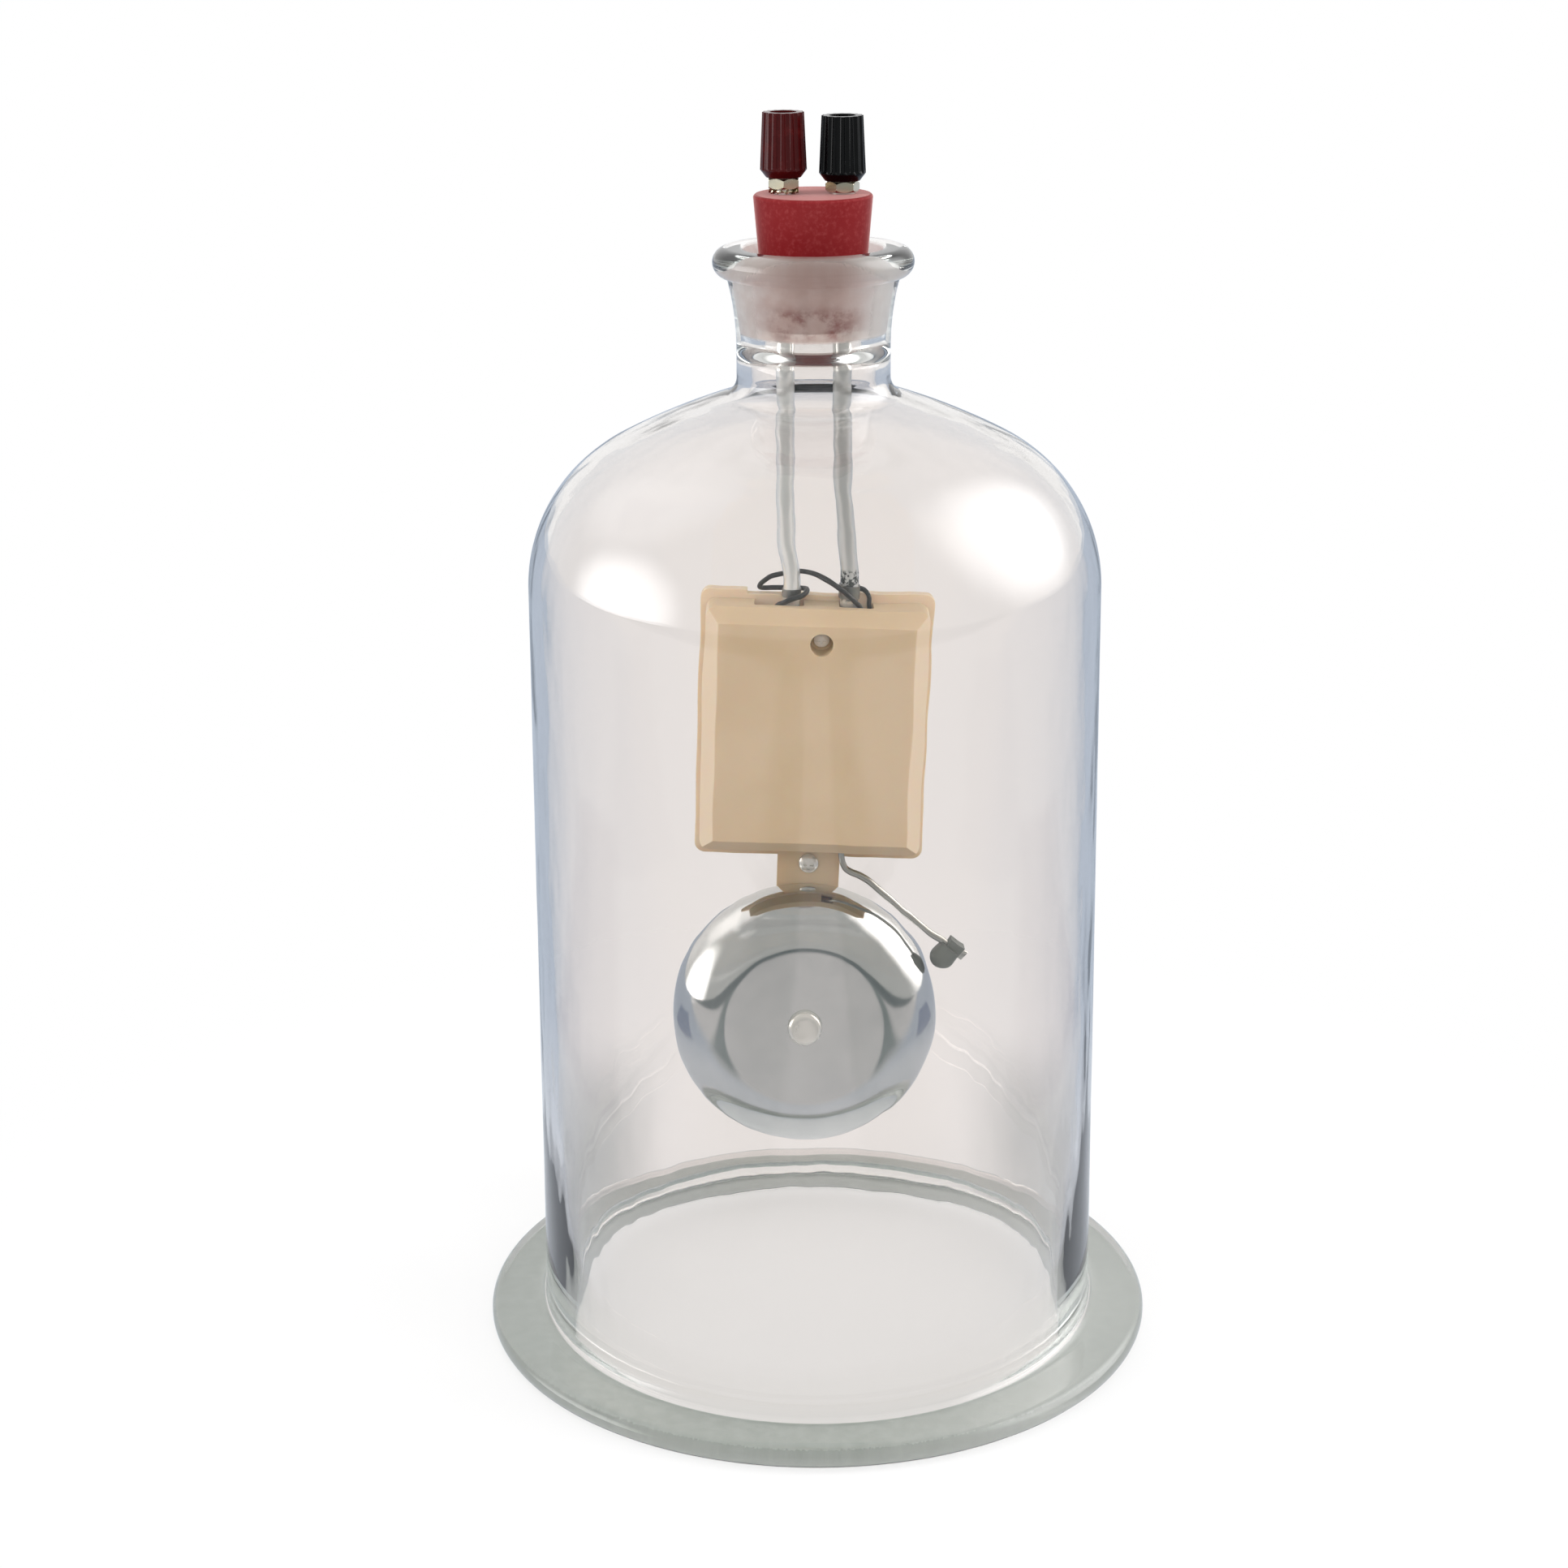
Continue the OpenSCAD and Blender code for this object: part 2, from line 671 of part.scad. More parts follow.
module red_nut() {
    color(brass_c)
        translate([-rod_spacing / 2, 0, red_nut_z])
            rotate([0, 0, red_nut_turn])
                hex_nut(nut_af, nut_t, rod_bore);
}

module black_nut() {
    color(brass_c)
        translate([rod_spacing / 2, 0, black_nut_z])
            rotate([0, 0, black_nut_turn])
                hex_nut(nut_af, nut_t, rod_bore);
}

// Fluted screw cap of a post, standing on z = 0
module post_cap() {
    taper = atan2((cap_low_d - cap_top_d) / 2, cap_h - cap_bevel_h);
    wall_r = cap_low_d / 2 - (flute_foot - cap_bevel_h) * tan(taper);
    difference() {
        union() {
            cylinder(r1 = cap_foot_d / 2, r2 = cap_low_d / 2, h = cap_bevel_h);
            translate([0, 0, cap_bevel_h])
                cylinder(r1 = cap_low_d / 2, r2 = cap_top_d / 2, h = cap_h - cap_bevel_h);
        }
        translate([0, 0, -over])
            cylinder(r = sleeve_d / 2 + fit, h = cap_h + 2 * over);
        for (i = [0:flutes - 1])
            rotate([0, 0, (i + 0.5) * 360 / flutes])
                translate([wall_r + flute_r - flute_cut, 0, flute_foot])
                    rotate([0, -taper, 0]) {
                        cylinder(r = flute_r, h = cap_h, $fn = 24);
                        sphere(r = flute_r, $fn = 24);
                    }
    }
}

module red_cap() {
    color(dark_red)
        translate([-rod_spacing / 2, 0, red_cap_z])
            post_cap();
}

module black_cap() {
    color(black_c)
        translate([rod_spacing / 2, 0, black_cap_z])
            post_cap();
}

// Brass sleeve inside a cap: threaded bore below, plug socket above
module post_sleeve() {
    sleeve_h = cap_h - sleeve_sink;
    difference() {
        cylinder(r = sleeve_d / 2, h = sleeve_h);
        translate([0, 0, -over])
            cylinder(r = rod_bore, h = thread_depth + over);
        translate([0, 0, sleeve_h - socket_depth])
            cylinder(r = socket_d / 2, h = socket_depth + over);
    }
}

module red_socket() {
    color(brass_c)
        translate([-rod_spacing / 2, 0, red_cap_z])
            post_sleeve();
}

module black_socket() {
    color(brass_c)
        translate([rod_spacing / 2, 0, black_cap_z])
            post_sleeve();
}

// Bell case
module plate_holes() {
    bar_y(cover_screw_d / 2 + fit, pillar_top - over, plate_back - screw_skin, well_x, well_z);
    bar_y(m3_r + fit, plate_y - over, plate_back - screw_skin, rod_mid, clamp_z);
    bar_y(m3_hole_r, plate_y - over, plate_back + over, 0, strip_screw_z);
    for (p = frame_screw_places())
        bar_y(m3_r + fit, plate_y - over, plate_back - screw_skin, p[0], p[1]);
}

// Middle of each screw that holds the yoke and the two brackets
function frame_screw_places() = [
    [yoke_screw_x, coil_z + coil_pitch / 2],
    [yoke_screw_x, coil_z - coil_pitch / 2],
    [bracket_x + bracket_w + (bracket_foot - bracket_w) / 2, bracket_low + bracket_h / 2],
    [contact_post_x + contact_post_t + contact_foot_w / 2,
        contact_z - contact_post_w / 2 - contact_foot_l / 2]];

module base_plate() {
    lip_w = cover_w - 2 * cover_t - 2 * fit;
    lip_l = cover_h - 2 * cover_t - 2 * fit;
    color(cream)
        in_bell()
            difference() {
                union() {
                    slab(plate_w, plate_h, plate_round, plate_y, plate_back);
                    block([-tongue_w / 2, plate_y, -plate_h / 2 - tongue_l],
                        [tongue_w / 2, plate_back, -plate_h / 2 + over]);
                    translate([0, 0, cover_up])
                        difference() {
                            slab(lip_w, lip_l, cover_round - cover_t / 2, plate_y - lip_h,
                                plate_y + over);
                            slab(lip_w - 2 * lip_t, lip_l - 2 * lip_t, lip_inner_round,
                                plate_y - lip_h - over, plate_y);
                            block([left_notch[0], plate_y - 2 * lip_h, 0],
                                [right_notch[1] + 1, plate_y, cover_h]);
                            block([wire_x + lip_slot[0], plate_y - 2 * lip_h, -cover_h],
                                [wire_x + lip_slot[1], plate_y, 0]);
                        }
                    bar_y(pillar_d / 2, pillar_top, plate_y + over, well_x, well_z);
                }
                block([dip_from, plate_y - over, plate_h / 2 - plate_dip],
                    [dip_to, plate_back + over, plate_h / 2 + over]);
                block([-strip_w / 2 - fit, strip_y, -plate_h],
                    [strip_w / 2 + fit, plate_back + over, strip_top + fit]);
                plate_holes();
            }
}

// Box with a bevelled front, as the meeting of a rounded slab and two bevelled prisms
module cover_body(w, h, r, front, back, bw, bd) {
    side = front + bd;
    intersection() {
        slab(w, h, r, front, back);
        translate([0, 0, -h / 2 - over])
            linear_extrude(height = h + 2 * over)
                polygon([[-w / 2, back], [-w / 2, side], [-w / 2 + bw, front],
                    [w / 2 - bw, front], [w / 2, side], [w / 2, back]]);
        translate([-w / 2 - over, 0, 0])
            rotate([90, 0, 90])
                linear_extrude(height = w + 2 * over)
                    polygon([[back, -h / 2], [side, -h / 2], [front, -h / 2 + bw],
                        [front, h / 2 - bw], [side, h / 2], [back, h / 2]]);
    }
}

module cover_notch(from, to) {
    mid = (from + to) / 2;
    w = to - from;
    translate([mid, 0, cover_top - cover_t - over])
        linear_extrude(height = cover_t + 2 * over) {
            translate([-w / 2, notch_front + notch_round])
                square([w, plate_y - notch_front + over]);
            translate([-w / 2 + notch_round, notch_front])
                square([w - 2 * notch_round, notch_round + over]);
            for (x = [-1, 1])
                translate([x * (w / 2 - notch_round), notch_front + notch_round])
                    circle(r = notch_round);
        }
}

module cover() {
    wire_slot_l = wire_x - wire_d / 2 - wire_slot_side[0];
    wire_slot_r = wire_x + wire_d / 2 + wire_slot_side[1];
    color(cream)
        in_bell()
            difference() {
                union() {
                    translate([0, 0, cover_up])
                        difference() {
                            cover_body(cover_w, cover_h, cover_round, cover_front, plate_y,
                                bevel_w, bevel_d);
                            cover_body(cover_w - 2 * cover_t, cover_h - 2 * cover_t,
                                cover_round - cover_t / 2, cover_front + cover_t,
                                plate_y + over, bevel_w, bevel_d);
                        }
                    bar_y(well_d / 2 + well_wall, cover_front + cover_t / 2,
                        pillar_top - fit, well_x, well_z);
                }
                bar_y(well_d / 2, cover_front - over, pillar_top - well_floor, well_x, well_z);
                bar_y(cover_screw_d / 2 + 0.2, cover_front, pillar_top + over, well_x, well_z);
                cover_notch(left_notch[0], left_notch[1]);
                cover_notch(right_notch[0], right_notch[1]);
                block([wire_slot_l, move_y - wire_d / 2 - wire_slot_front, cover_bottom - over],
                    [wire_slot_r, plate_y + over, cover_bottom + cover_t + over]);
            }
}

module cover_screw() {
    color(bright_c)
        in_bell()
            translate([well_x, pillar_top - well_floor, well_z])
                pan_screw(cover_screw_d / 2, cover_screw_l, cover_screw_head_r,
                    cover_screw_head_h, cover_screw_slot);
}

// Gong: its frame starts on the strip's front, on the gong's axis, and leans back with the strip
module in_gong() {
    in_bell()
        translate([0, strip_y, strip_bend])
            rotate([-gong_tip, 0, 0])
                translate([gong_x, 0, -gong_reach])
                    children();
}

module gong_strip() {
    foot = gong_reach * [-sin(gong_tip), -cos(gong_tip)];
    back = strip_t * [cos(gong_tip), -sin(gong_tip)];
    bend = [strip_y, strip_bend];
    color(steel_c)
        difference() {
            union() {
                in_bell()
                    translate([-strip_w / 2, 0, 0])
                        rotate([90, 0, 90])
                            linear_extrude(height = strip_w)
                                polygon([[strip_y, strip_top], bend, bend + foot,
                                    bend + foot + back,
                                    [plate_back, strip_bend - strip_t * tan(gong_tip / 2)],
                                    [plate_back, strip_top]]);
                in_gong()
                    bar_y(strip_end_r, 0, strip_t, -gong_x, 0);
            }
            in_gong()
                bar_y(spigot_r + fit, -over, strip_t + over);
            in_bell()
                bar_y(m3_hole_r, strip_y - over, plate_back + over, 0, strip_screw_z);
        }
}

module strip_screw() {
    color(bright_c)
        in_bell()
            translate([0, plate_y, strip_screw_z])
                pan_screw(m3_r, plate_t + m3_nut_t + screw_spare, m3_head_r, strip_head_h);
}

module strip_nut() {
    color(steel_c)
        in_bell()
            translate([0, plate_back + m3_nut_t, strip_screw_z])
                rotate([90, 0, 0])
                    hex_nut(m3_nut_af, m3_nut_t, m3_r + fit);
}

module gong_post() {
    inner_y = gong_face_y + gong_t;
    color(steel_c)
        in_gong()
            difference() {
                union() {
                    bar_y(post_d / 2, inner_y, 0);
                    bar_y(spigot_r, inner_y, strip_t + spigot_head);
                    bar_y(spigot_r + spigot_spread, strip_t, strip_t + spigot_head);
                }
                bar_y(gong_screw_r + fit, inner_y - over, inner_y + gong_screw_l);
            }
}

// Half outline of the gong: radius across, depth up from the rim
module gong_outline(t, below) {
    turn_r = gong_turn_r - t;
    turn_x = gong_r - gong_turn_r;
    intersection() {
        union() {
            translate([0, -below])
                square([turn_x, gong_depth + below]);
            translate([turn_x, gong_lip])
                circle(r = turn_r);
            translate([0, -below])
                square([turn_x + turn_r, gong_lip + below]);
        }
        translate([0, -below])
            square([gong_r + over, gong_depth - t + below]);
    }
}

module gong() {
    color(bright_c)
        in_gong()
            translate([0, gong_rim_y, 0])
                rotate([90, 0, 0])
                    rotate_extrude($fn = 96)
                        difference() {
                            gong_outline(0, 0);
                            gong_outline(gong_t, over);
                            translate([-over, 0])
                                square([gong_hole_r + over, gong_depth + over]);
                        }
}

module gong_screw() {
    flat_r = gong_head_d / 2 - gong_head_round;
    color(bright_c)
        in_gong()
            translate([0, gong_face_y, 0])
                rotate([90, 0, 0])
                    rotate_extrude()
                        union() {
                            translate([0, -gong_screw_l + gong_screw_grip])
                                square([gong_screw_r, gong_screw_l]);
                            square([gong_head_d / 2, gong_head_h - gong_head_round]);
                            translate([flat_r, gong_head_h - gong_head_round])
                                intersection() {
                                    circle(r = gong_head_round);
                                    square(2 * gong_head_round);
                                }
                            square([flat_r, gong_head_h]);
                        }
}

// Magnet
module at_coils() {
    for (s = [-1, 1])
        translate([0, move_y, coil_z + s * coil_pitch / 2])
            children();
}

module magnet_yoke() {
    color(iron_c)
        in_bell()
            difference() {
                union() {
                    block([yoke_x - yoke_t, move_y - yoke_w / 2, coil_z - yoke_reach],
                        [yoke_x, plate_y, coil_z + yoke_reach]);
                    block([yoke_x - yoke_foot, plate_y - foot_t, coil_z - yoke_reach],
                        [yoke_x, plate_y, coil_z + yoke_reach]);
                }
                at_coils()
                    bar_x(core_d / 2 - spigot_core + fit, yoke_x - yoke_t - over, yoke_x + over);
                for (i = [0, 1])
                    bar_y(m3_hole_r, plate_y - foot_t - over, plate_y + over,
                        frame_screw_places()[i][0], frame_screw_places()[i][1]);
            }
}

module magnet_cores() {
    color(iron_c)
        in_bell()
            at_coils() {
                bar_x(core_d / 2, yoke_x, pole_x);
                bar_x(core_d / 2 - spigot_core, yoke_x - yoke_t - core_rivet, yoke_x + over);
            }
}

module coil_bobbins() {
    tube_r = core_d / 2 + fit + bobbin_wall;
    color(fibre_c)
        in_bell()
            at_coils()
                difference() {
                    union() {
                        bar_x(tube_r, coil_x, coil_x + coil_l);
                        bar_x(bobbin_d / 2, coil_x, coil_x + bobbin_end);
                        bar_x(bobbin_d / 2, coil_x + coil_l - bobbin_end, coil_x + coil_l);
                    }
                    bar_x(core_d / 2 + fit, coil_x - over, coil_x + coil_l + over);
                }
}

module coil_windings() {
    tube_r = core_d / 2 + 2 * fit + bobbin_wall;
    color(copper_c)
        in_bell()
            at_coils()
                difference() {
                    bar_x(coil_d / 2, coil_x + bobbin_end + fit, coil_x + coil_l - bobbin_end - fit);
                    bar_x(tube_r, coil_x, coil_x + coil_l);
                }
}

// Clamp that holds both rods against the plate
module rod_clamp() {
    color(fibre_c)
        in_bell()
            difference() {
                block([left_x - rod_bore - clamp_wall, -rod_bore - clamp_front, clamp_z - clamp_h / 2],
                    [right_x + rod_bore + clamp_wall, plate_y, clamp_z + clamp_h / 2]);
                for (x = [left_x, right_x]) {
                    translate([x, 0, clamp_z - clamp_h])
                        cylinder(r = rod_bore, h = 2 * clamp_h);
                    block([x - rod_bore, 0, clamp_z - clamp_h], [x + rod_bore, plate_y + over,
                        clamp_z + clamp_h]);
                }
                bar_y(m3_hole_r, -rod_bore - clamp_front - over, plate_y + over, rod_mid, clamp_z);
            }
}

module clamp_screw() {
    front = -rod_bore - clamp_front;
    color(steel_c)
        in_bell()
            translate([rod_mid, front, clamp_z])
                pan_screw(m3_r, plate_y + screw_bite - front, m3_head_r, m3_head_h);
}

module contact_bracket() {
    low = contact_z - contact_post_w / 2;
    high = contact_z + contact_post_w / 2;
    color(brass_c)
        in_bell()
            difference() {
                union() {
                    block([contact_post_x, move_y - contact_post_front, low],
                        [contact_post_x + contact_post_t, plate_y, high]);
                    block([contact_post_x, plate_y - foot_t, low - contact_foot_l],
                        [contact_post_x + contact_post_t + contact_foot_w, plate_y, high]);
                }
                bar_x(contact_d / 2 + fit, contact_post_x - over,
                    contact_post_x + contact_post_t + over, move_y, contact_z);
                bar_y(m3_hole_r, plate_y - foot_t - over, plate_y + over,
                    frame_screw_places()[3][0], frame_screw_places()[3][1]);
            }
}

module contact_screw() {
    color(brass_c)
        in_bell()
            translate([0, move_y, contact_z]) {
                bar_x(contact_d / 2 - contact_neck, tip_x, tip_x + contact_point_l);
                bar_x(contact_d / 2, tip_x + contact_point_l, tip_x + contact_l);
                difference() {
                    bar_x(contact_head_r, tip_x + contact_l - contact_head_l, tip_x + contact_l);
                    block([tip_x + contact_l - contact_slot[0], -contact_slot[1], -2 * contact_head_r],
                        [tip_x + contact_l + over, contact_slot[1], 2 * contact_head_r]);
                }
            }
}

module contact_lock_nut() {
    color(brass_c)
        in_bell()
            translate([contact_post_x - m3_nut_t, move_y, contact_z])
                rotate([0, 90, 0])
                    hex_nut(m3_nut_af, m3_nut_t, contact_d / 2 + fit);
}

// Bracket that holds the root of the armature's spring
module spring_bracket() {
    slot_l = spring_x - root_slot;
    slot_r = spring_x + leaf_t + root_slot;
    color(steel_c)
        in_bell()
            difference() {
                union() {
                    block([bracket_x, move_y - bracket_front, bracket_low],
                        [bracket_x + bracket_w, plate_y, bracket_low + bracket_h]);
                    block([bracket_x, plate_y - foot_t, bracket_low],
                        [bracket_x + bracket_foot, plate_y, bracket_low + bracket_h]);
                }
                block([slot_l, move_y - spring_w / 2 - apart, bracket_low - over],
                    [slot_r, move_y + spring_w / 2 + apart, hinge_z + root_in + apart]);
                bar_y(m3_hole_r, plate_y - foot_t - over, plate_y + over,
                    frame_screw_places()[2][0], frame_screw_places()[2][1]);
            }
}

module frame_screws() {
    color(steel_c)
        in_bell()
            for (p = frame_screw_places())
                translate([p[0], plate_y - foot_t, p[1]])
                    pan_screw(m3_r, foot_t + screw_bite, frame_head_r, m3_head_h);
}

// Leads
module solder_sleeve(x, low, high, t) {
    translate([x, 0, low])
        difference() {
            cylinder(r = rod_r + t, h = high - low);
            translate([0, 0, -over])
                cylinder(r = rod_r + solder_fit, h = high - low + 2 * over);
        }
}

module solder_joints() {
    color(iron_c)
        in_bell() {
            solder_sleeve(right_x, right_solder[0], right_solder[1], right_solder[2]);
            solder_sleeve(left_x, left_solder[0], left_solder[1], left_solder[2]);
        }
}

module left_lead() {
    color(black_c)
        in_bell()
            tube(curve(left_route, 3), lead_d / 2, 8, [0, 1, 0]);
}

module right_lead() {
    color(black_c)
        in_bell()
            tube(curve(right_route, 3), lead_d / 2, 8, [0, 0, 1]);
}

module long_lead() {
    color(black_c)
        in_bell()
            tube(curve(long_route, 3), lead_d / 2, 8, [0, 0, 1]);
}

module coil_end_leads() {
    color(copper_c)
        in_bell() {
            tube(curve(link_route, 3), link_r, 8, [0, 1, 0]);
            translate([coil_x + coil_l - link_in, move_y,
                coil_z - coil_pitch / 2 + coil_d / 2 + fit])
                cylinder(r = link_r, h = coil_pitch - coil_d - 2 * fit);
        }
}

// Armature and hammer
module armature() {
    color(iron_c)
        in_bell()
            difference() {
                union() {
                    block([armature_x, move_y - armature_w / 2, armature_bottom],
                        [armature_x + armature_t, move_y + armature_w / 2, armature_top]);
                    block([wire_x - boss_w / 2, move_y - boss_w / 2, armature_bottom - boss_h],
                        [wire_x + boss_w / 2, move_y + boss_w / 2, armature_bottom]);
                }
                translate([wire_x, move_y, armature_bottom - boss_h - over])
                    cylinder(r = wire_d / 2 + fit, h = boss_h + over);
                for (s = [-1, 1])
                    bar_x(rivet_r + fit, armature_x - over, spring_x + over,
                        move_y + s * rivet_pitch / 2, rivet_z);
            }
}

module armature_spring() {
    color(bright_c)
        in_bell()
            difference() {
                block([spring_x, move_y - spring_w / 2, spring_foot_z],
                    [spring_x + leaf_t, move_y + spring_w / 2, hinge_z + root_in]);
                for (s = [-1, 1])
                    bar_x(rivet_r + fit, spring_x - over, spring_x + leaf_t + over,
                        move_y + s * rivet_pitch / 2, rivet_z);
            }
}

module contact_leaf() {
    x = spring_x + leaf_t;
    color(brass_c)
        in_bell()
            difference() {
                union() {
                    block([x, move_y - spring_w / 2, contact_leaf_end],
                        [x + contact_leaf_t, move_y + spring_w / 2, rivet_z + rivet_edge]);
                    bar_x(contact_tip_r, x, x + contact_leaf_t + contact_tip_t, move_y, contact_z);
                }
                for (s = [-1, 1])
                    bar_x(rivet_r + fit, x - over, x + contact_leaf_t + over,
                        move_y + s * rivet_pitch / 2, rivet_z);
            }
}

module armature_rivets() {
    left = armature_x;
    right = spring_x + leaf_t + contact_leaf_t;
    color(brass_c)
        in_bell()
            for (s = [-1, 1])
                translate([0, move_y + s * rivet_pitch / 2, rivet_z]) {
                    bar_x(rivet_r, left - rivet_head_h, right + rivet_head_h);
                    bar_x(rivet_head_r, left - rivet_head_h, left);
                    bar_x(rivet_head_r, right, right + rivet_head_h);
                }
}

module hammer_wire() {
    color(steel_c)
        in_bell()
            tube(curve(wire_route, 2), wire_d / 2, 12, [0, 1, 0]);
}

// Striker: a round head that points at the gong, clamped on the wire by its top block
module striker() {
    color([0.42, 0.44, 0.42])
        in_bell()
            translate(striker_at)
                rotate([0, striker_turn, 0])
                    difference() {
                        union() {
                            translate([0, 0, -striker_l])
                                rotate_extrude() {
                                    translate([0, striker_d / 2])
                                        square([striker_d / 2, striker_l - striker_d / 2]);
                                    intersection() {
                                        translate([0, striker_d / 2])
                                            circle(r = striker_d / 2);
                                        square([striker_d / 2, striker_d / 2]);
                                    }
                                }
                            block([-striker_grip[0], -striker_grip[2], -over],
                                [striker_grip[1], striker_grip[2], striker_grip[3]]);
                        }
                        rotate([0, 90, 0])
                            translate([0, 0, -2 * striker_d])
                                cylinder(r = wire_d / 2 + fit, h = 4 * striker_d);
                    }
}

glass_jar();
rubber_stopper();
red_rod();
black_rod();
red_star_washer();
black_washer();
red_nut();
black_nut();
red_cap();
black_cap();
red_socket();
black_socket();
base_plate();
cover();
cover_screw();
gong_strip();
strip_screw();
strip_nut();
gong_post();
gong();
gong_screw();
magnet_yoke();
magnet_cores();
coil_bobbins();
coil_windings();
rod_clamp();
clamp_screw();
contact_bracket();
contact_screw();
contact_lock_nut();
spring_bracket();
frame_screws();
solder_joints();
left_lead();
right_lead();
long_lead();
coil_end_leads();
armature();
armature_spring();
contact_leaf();
armature_rivets();
hammer_wire();
striker();
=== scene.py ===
# %% [markdown]
# # A bell jar with an electric bell inside
#
# The real object is a clear glass jar with a wide ground flange and a stoppered neck. A small
# electric bell hangs in it on two metal rods. The frame file already holds every solid at its
# true size, so this lesson only gives the pieces their looks. We load the frame first.

import json
import math

import bmesh
import bpy
from mathutils import Matrix, Vector, noise


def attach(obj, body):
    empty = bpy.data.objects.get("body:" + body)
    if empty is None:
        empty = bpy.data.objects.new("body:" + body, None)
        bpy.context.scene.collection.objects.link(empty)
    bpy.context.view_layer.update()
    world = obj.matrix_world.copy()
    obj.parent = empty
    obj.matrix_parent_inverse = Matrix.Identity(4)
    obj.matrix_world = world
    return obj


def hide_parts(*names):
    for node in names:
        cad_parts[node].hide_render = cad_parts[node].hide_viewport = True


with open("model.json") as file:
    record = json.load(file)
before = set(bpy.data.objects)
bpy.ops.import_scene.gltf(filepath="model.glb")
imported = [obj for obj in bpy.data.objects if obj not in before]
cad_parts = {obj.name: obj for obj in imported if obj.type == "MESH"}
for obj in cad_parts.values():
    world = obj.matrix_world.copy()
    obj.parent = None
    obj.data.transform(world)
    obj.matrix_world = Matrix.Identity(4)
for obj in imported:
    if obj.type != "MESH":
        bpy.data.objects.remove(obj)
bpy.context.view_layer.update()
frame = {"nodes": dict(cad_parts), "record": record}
body_of_node = {node: body for body, nodes in frame["record"]["behaviour"]["bodies"].items()
                for node in nodes}

# %% [markdown]
# ## The camera
#
# The picture was taken a little above the dome and about eighty centimetres in front of the
# rods. A long lens would flatten the ellipses of rim and flange, so the focal length is worked
# out from them. The camera is also rolled by less than half a degree, which is why every
# upright of the jar leans slightly to the left.

# %% Place the camera
lens_mm = 67.4
eye = Vector((-0.0089, -0.7926, 0.4270))
pitch_down = math.radians(18.35)
roll = math.radians(-0.42)

camera_data = bpy.data.cameras.new("camera")
camera_data.lens = lens_mm
camera = bpy.data.objects.new("camera", camera_data)
aim = Matrix.Rotation(math.pi / 2 - pitch_down, 4, "X") @ Matrix.Rotation(roll, 4, "Z")
camera.matrix_world = Matrix.Translation(eye) @ aim
bpy.context.scene.collection.objects.link(camera)
bpy.context.scene.camera = camera
bpy.context.scene.view_settings.view_transform = "Standard"
print("camera at", [round(v, 3) for v in eye])

# %% [markdown]
# ## Sums with sockets
#
# A finish is a sum of small things: a colour, a speckle, some dust near an edge. Blender adds
# those with Math nodes, which are slow to place by hand. A small class lets us write the sum as
# a Python expression instead. One method makes every kind of node, and the others are short
# names for the nodes we need most: `between` rises softly from 0 to 1, `until` falls from 1 to
# 0, and `within` does both, so that it marks a stretch.

# %% A socket that can be used in a sum
class Value:
    def __init__(self, tree, socket):
        self.tree, self.socket = tree, socket

    def node(self, kind, settings=(), inputs=(), out=0):
        made = self.tree.nodes.new(kind)
        for name, setting in dict(settings).items():
            setattr(made, name, setting)
        for name, value in dict(inputs).items():
            if isinstance(value, Value):
                self.tree.links.new(value.socket, made.inputs[name])
            else:
                made.inputs[name].default_value = value
        return Value(self.tree, made.outputs[out])

    def maths(self, operation, *terms):
        return self.node("ShaderNodeMath", {"operation": operation}, dict(enumerate(terms)))

    def __add__(self, other): return self.maths("ADD", self, other)
    def __sub__(self, other): return self.maths("SUBTRACT", self, other)
    def __rsub__(self, other): return self.maths("SUBTRACT", other, self)
    def __mul__(self, other): return self.maths("MULTIPLY", self, other)
    def __pow__(self, other): return self.maths("POWER", self, other)
    def __abs__(self): return self.maths("ABSOLUTE", self)
    __radd__, __rmul__ = __add__, __mul__

    def larger(self, other):
        return self.maths("MAXIMUM", self, other)

    def between(self, low, high):
        inputs = {"Value": self, "From Min": low, "From Max": high}
        return self.node("ShaderNodeMapRange", {"interpolation_type": "SMOOTHSTEP"}, inputs)

    def until(self, fades, gone):
        return 1 - self.between(fades, gone)

    def within(self, starts, full, fades, gone):
        return self.between(starts, full) * self.until(fades, gone)

    def noise(self, size, detail=3.0, rough=0.5):
        inputs = {"Vector": self, "Scale": 1 / size, "Detail": detail, "Roughness": rough}
        return self.node("ShaderNodeTexNoise", (), inputs)

    def stretched(self, x, y, z):
        return self.node("ShaderNodeVectorMath", {"operation": "MULTIPLY"},
                         {0: self, 1: (x, y, z)})

    def towards(self, x, y, z):
        return self.node("ShaderNodeVectorMath", {"operation": "DOT_PRODUCT"},
                         {0: self, 1: Vector((x, y, z)).normalized()}, "Value")

    def part(self, axis):
        return self.node("ShaderNodeSeparateXYZ", (), {"Vector": self}, axis)

    def mix(self, first, second):
        factor, colour_a, colour_b, colour_out = 0, 6, 7, 2
        return self.node("ShaderNodeMix", {"data_type": "RGBA"},
                         {factor: self, colour_a: first, colour_b: second}, colour_out)

    def blend(self, first_shader, second_shader):
        inputs = {0: self, 1: first_shader, 2: second_shader}
        return self.node("ShaderNodeMixShader", (), inputs)

    def bump(self, height, strength=1.0):
        return self.node("ShaderNodeBump", (), {"Height": self, "Distance": height,
                                                "Strength": strength})


def rgb(red, green, blue):
    linear = [(v / 255 / 12.92) if v <= 10 else ((v / 255 + 0.055) / 1.055) ** 2.4
              for v in (red, green, blue)]
    return (*linear, 1.0)


pure_white = rgb(255, 255, 255)
print("a mid grey is", [round(v, 3) for v in rgb(128, 128, 128)])

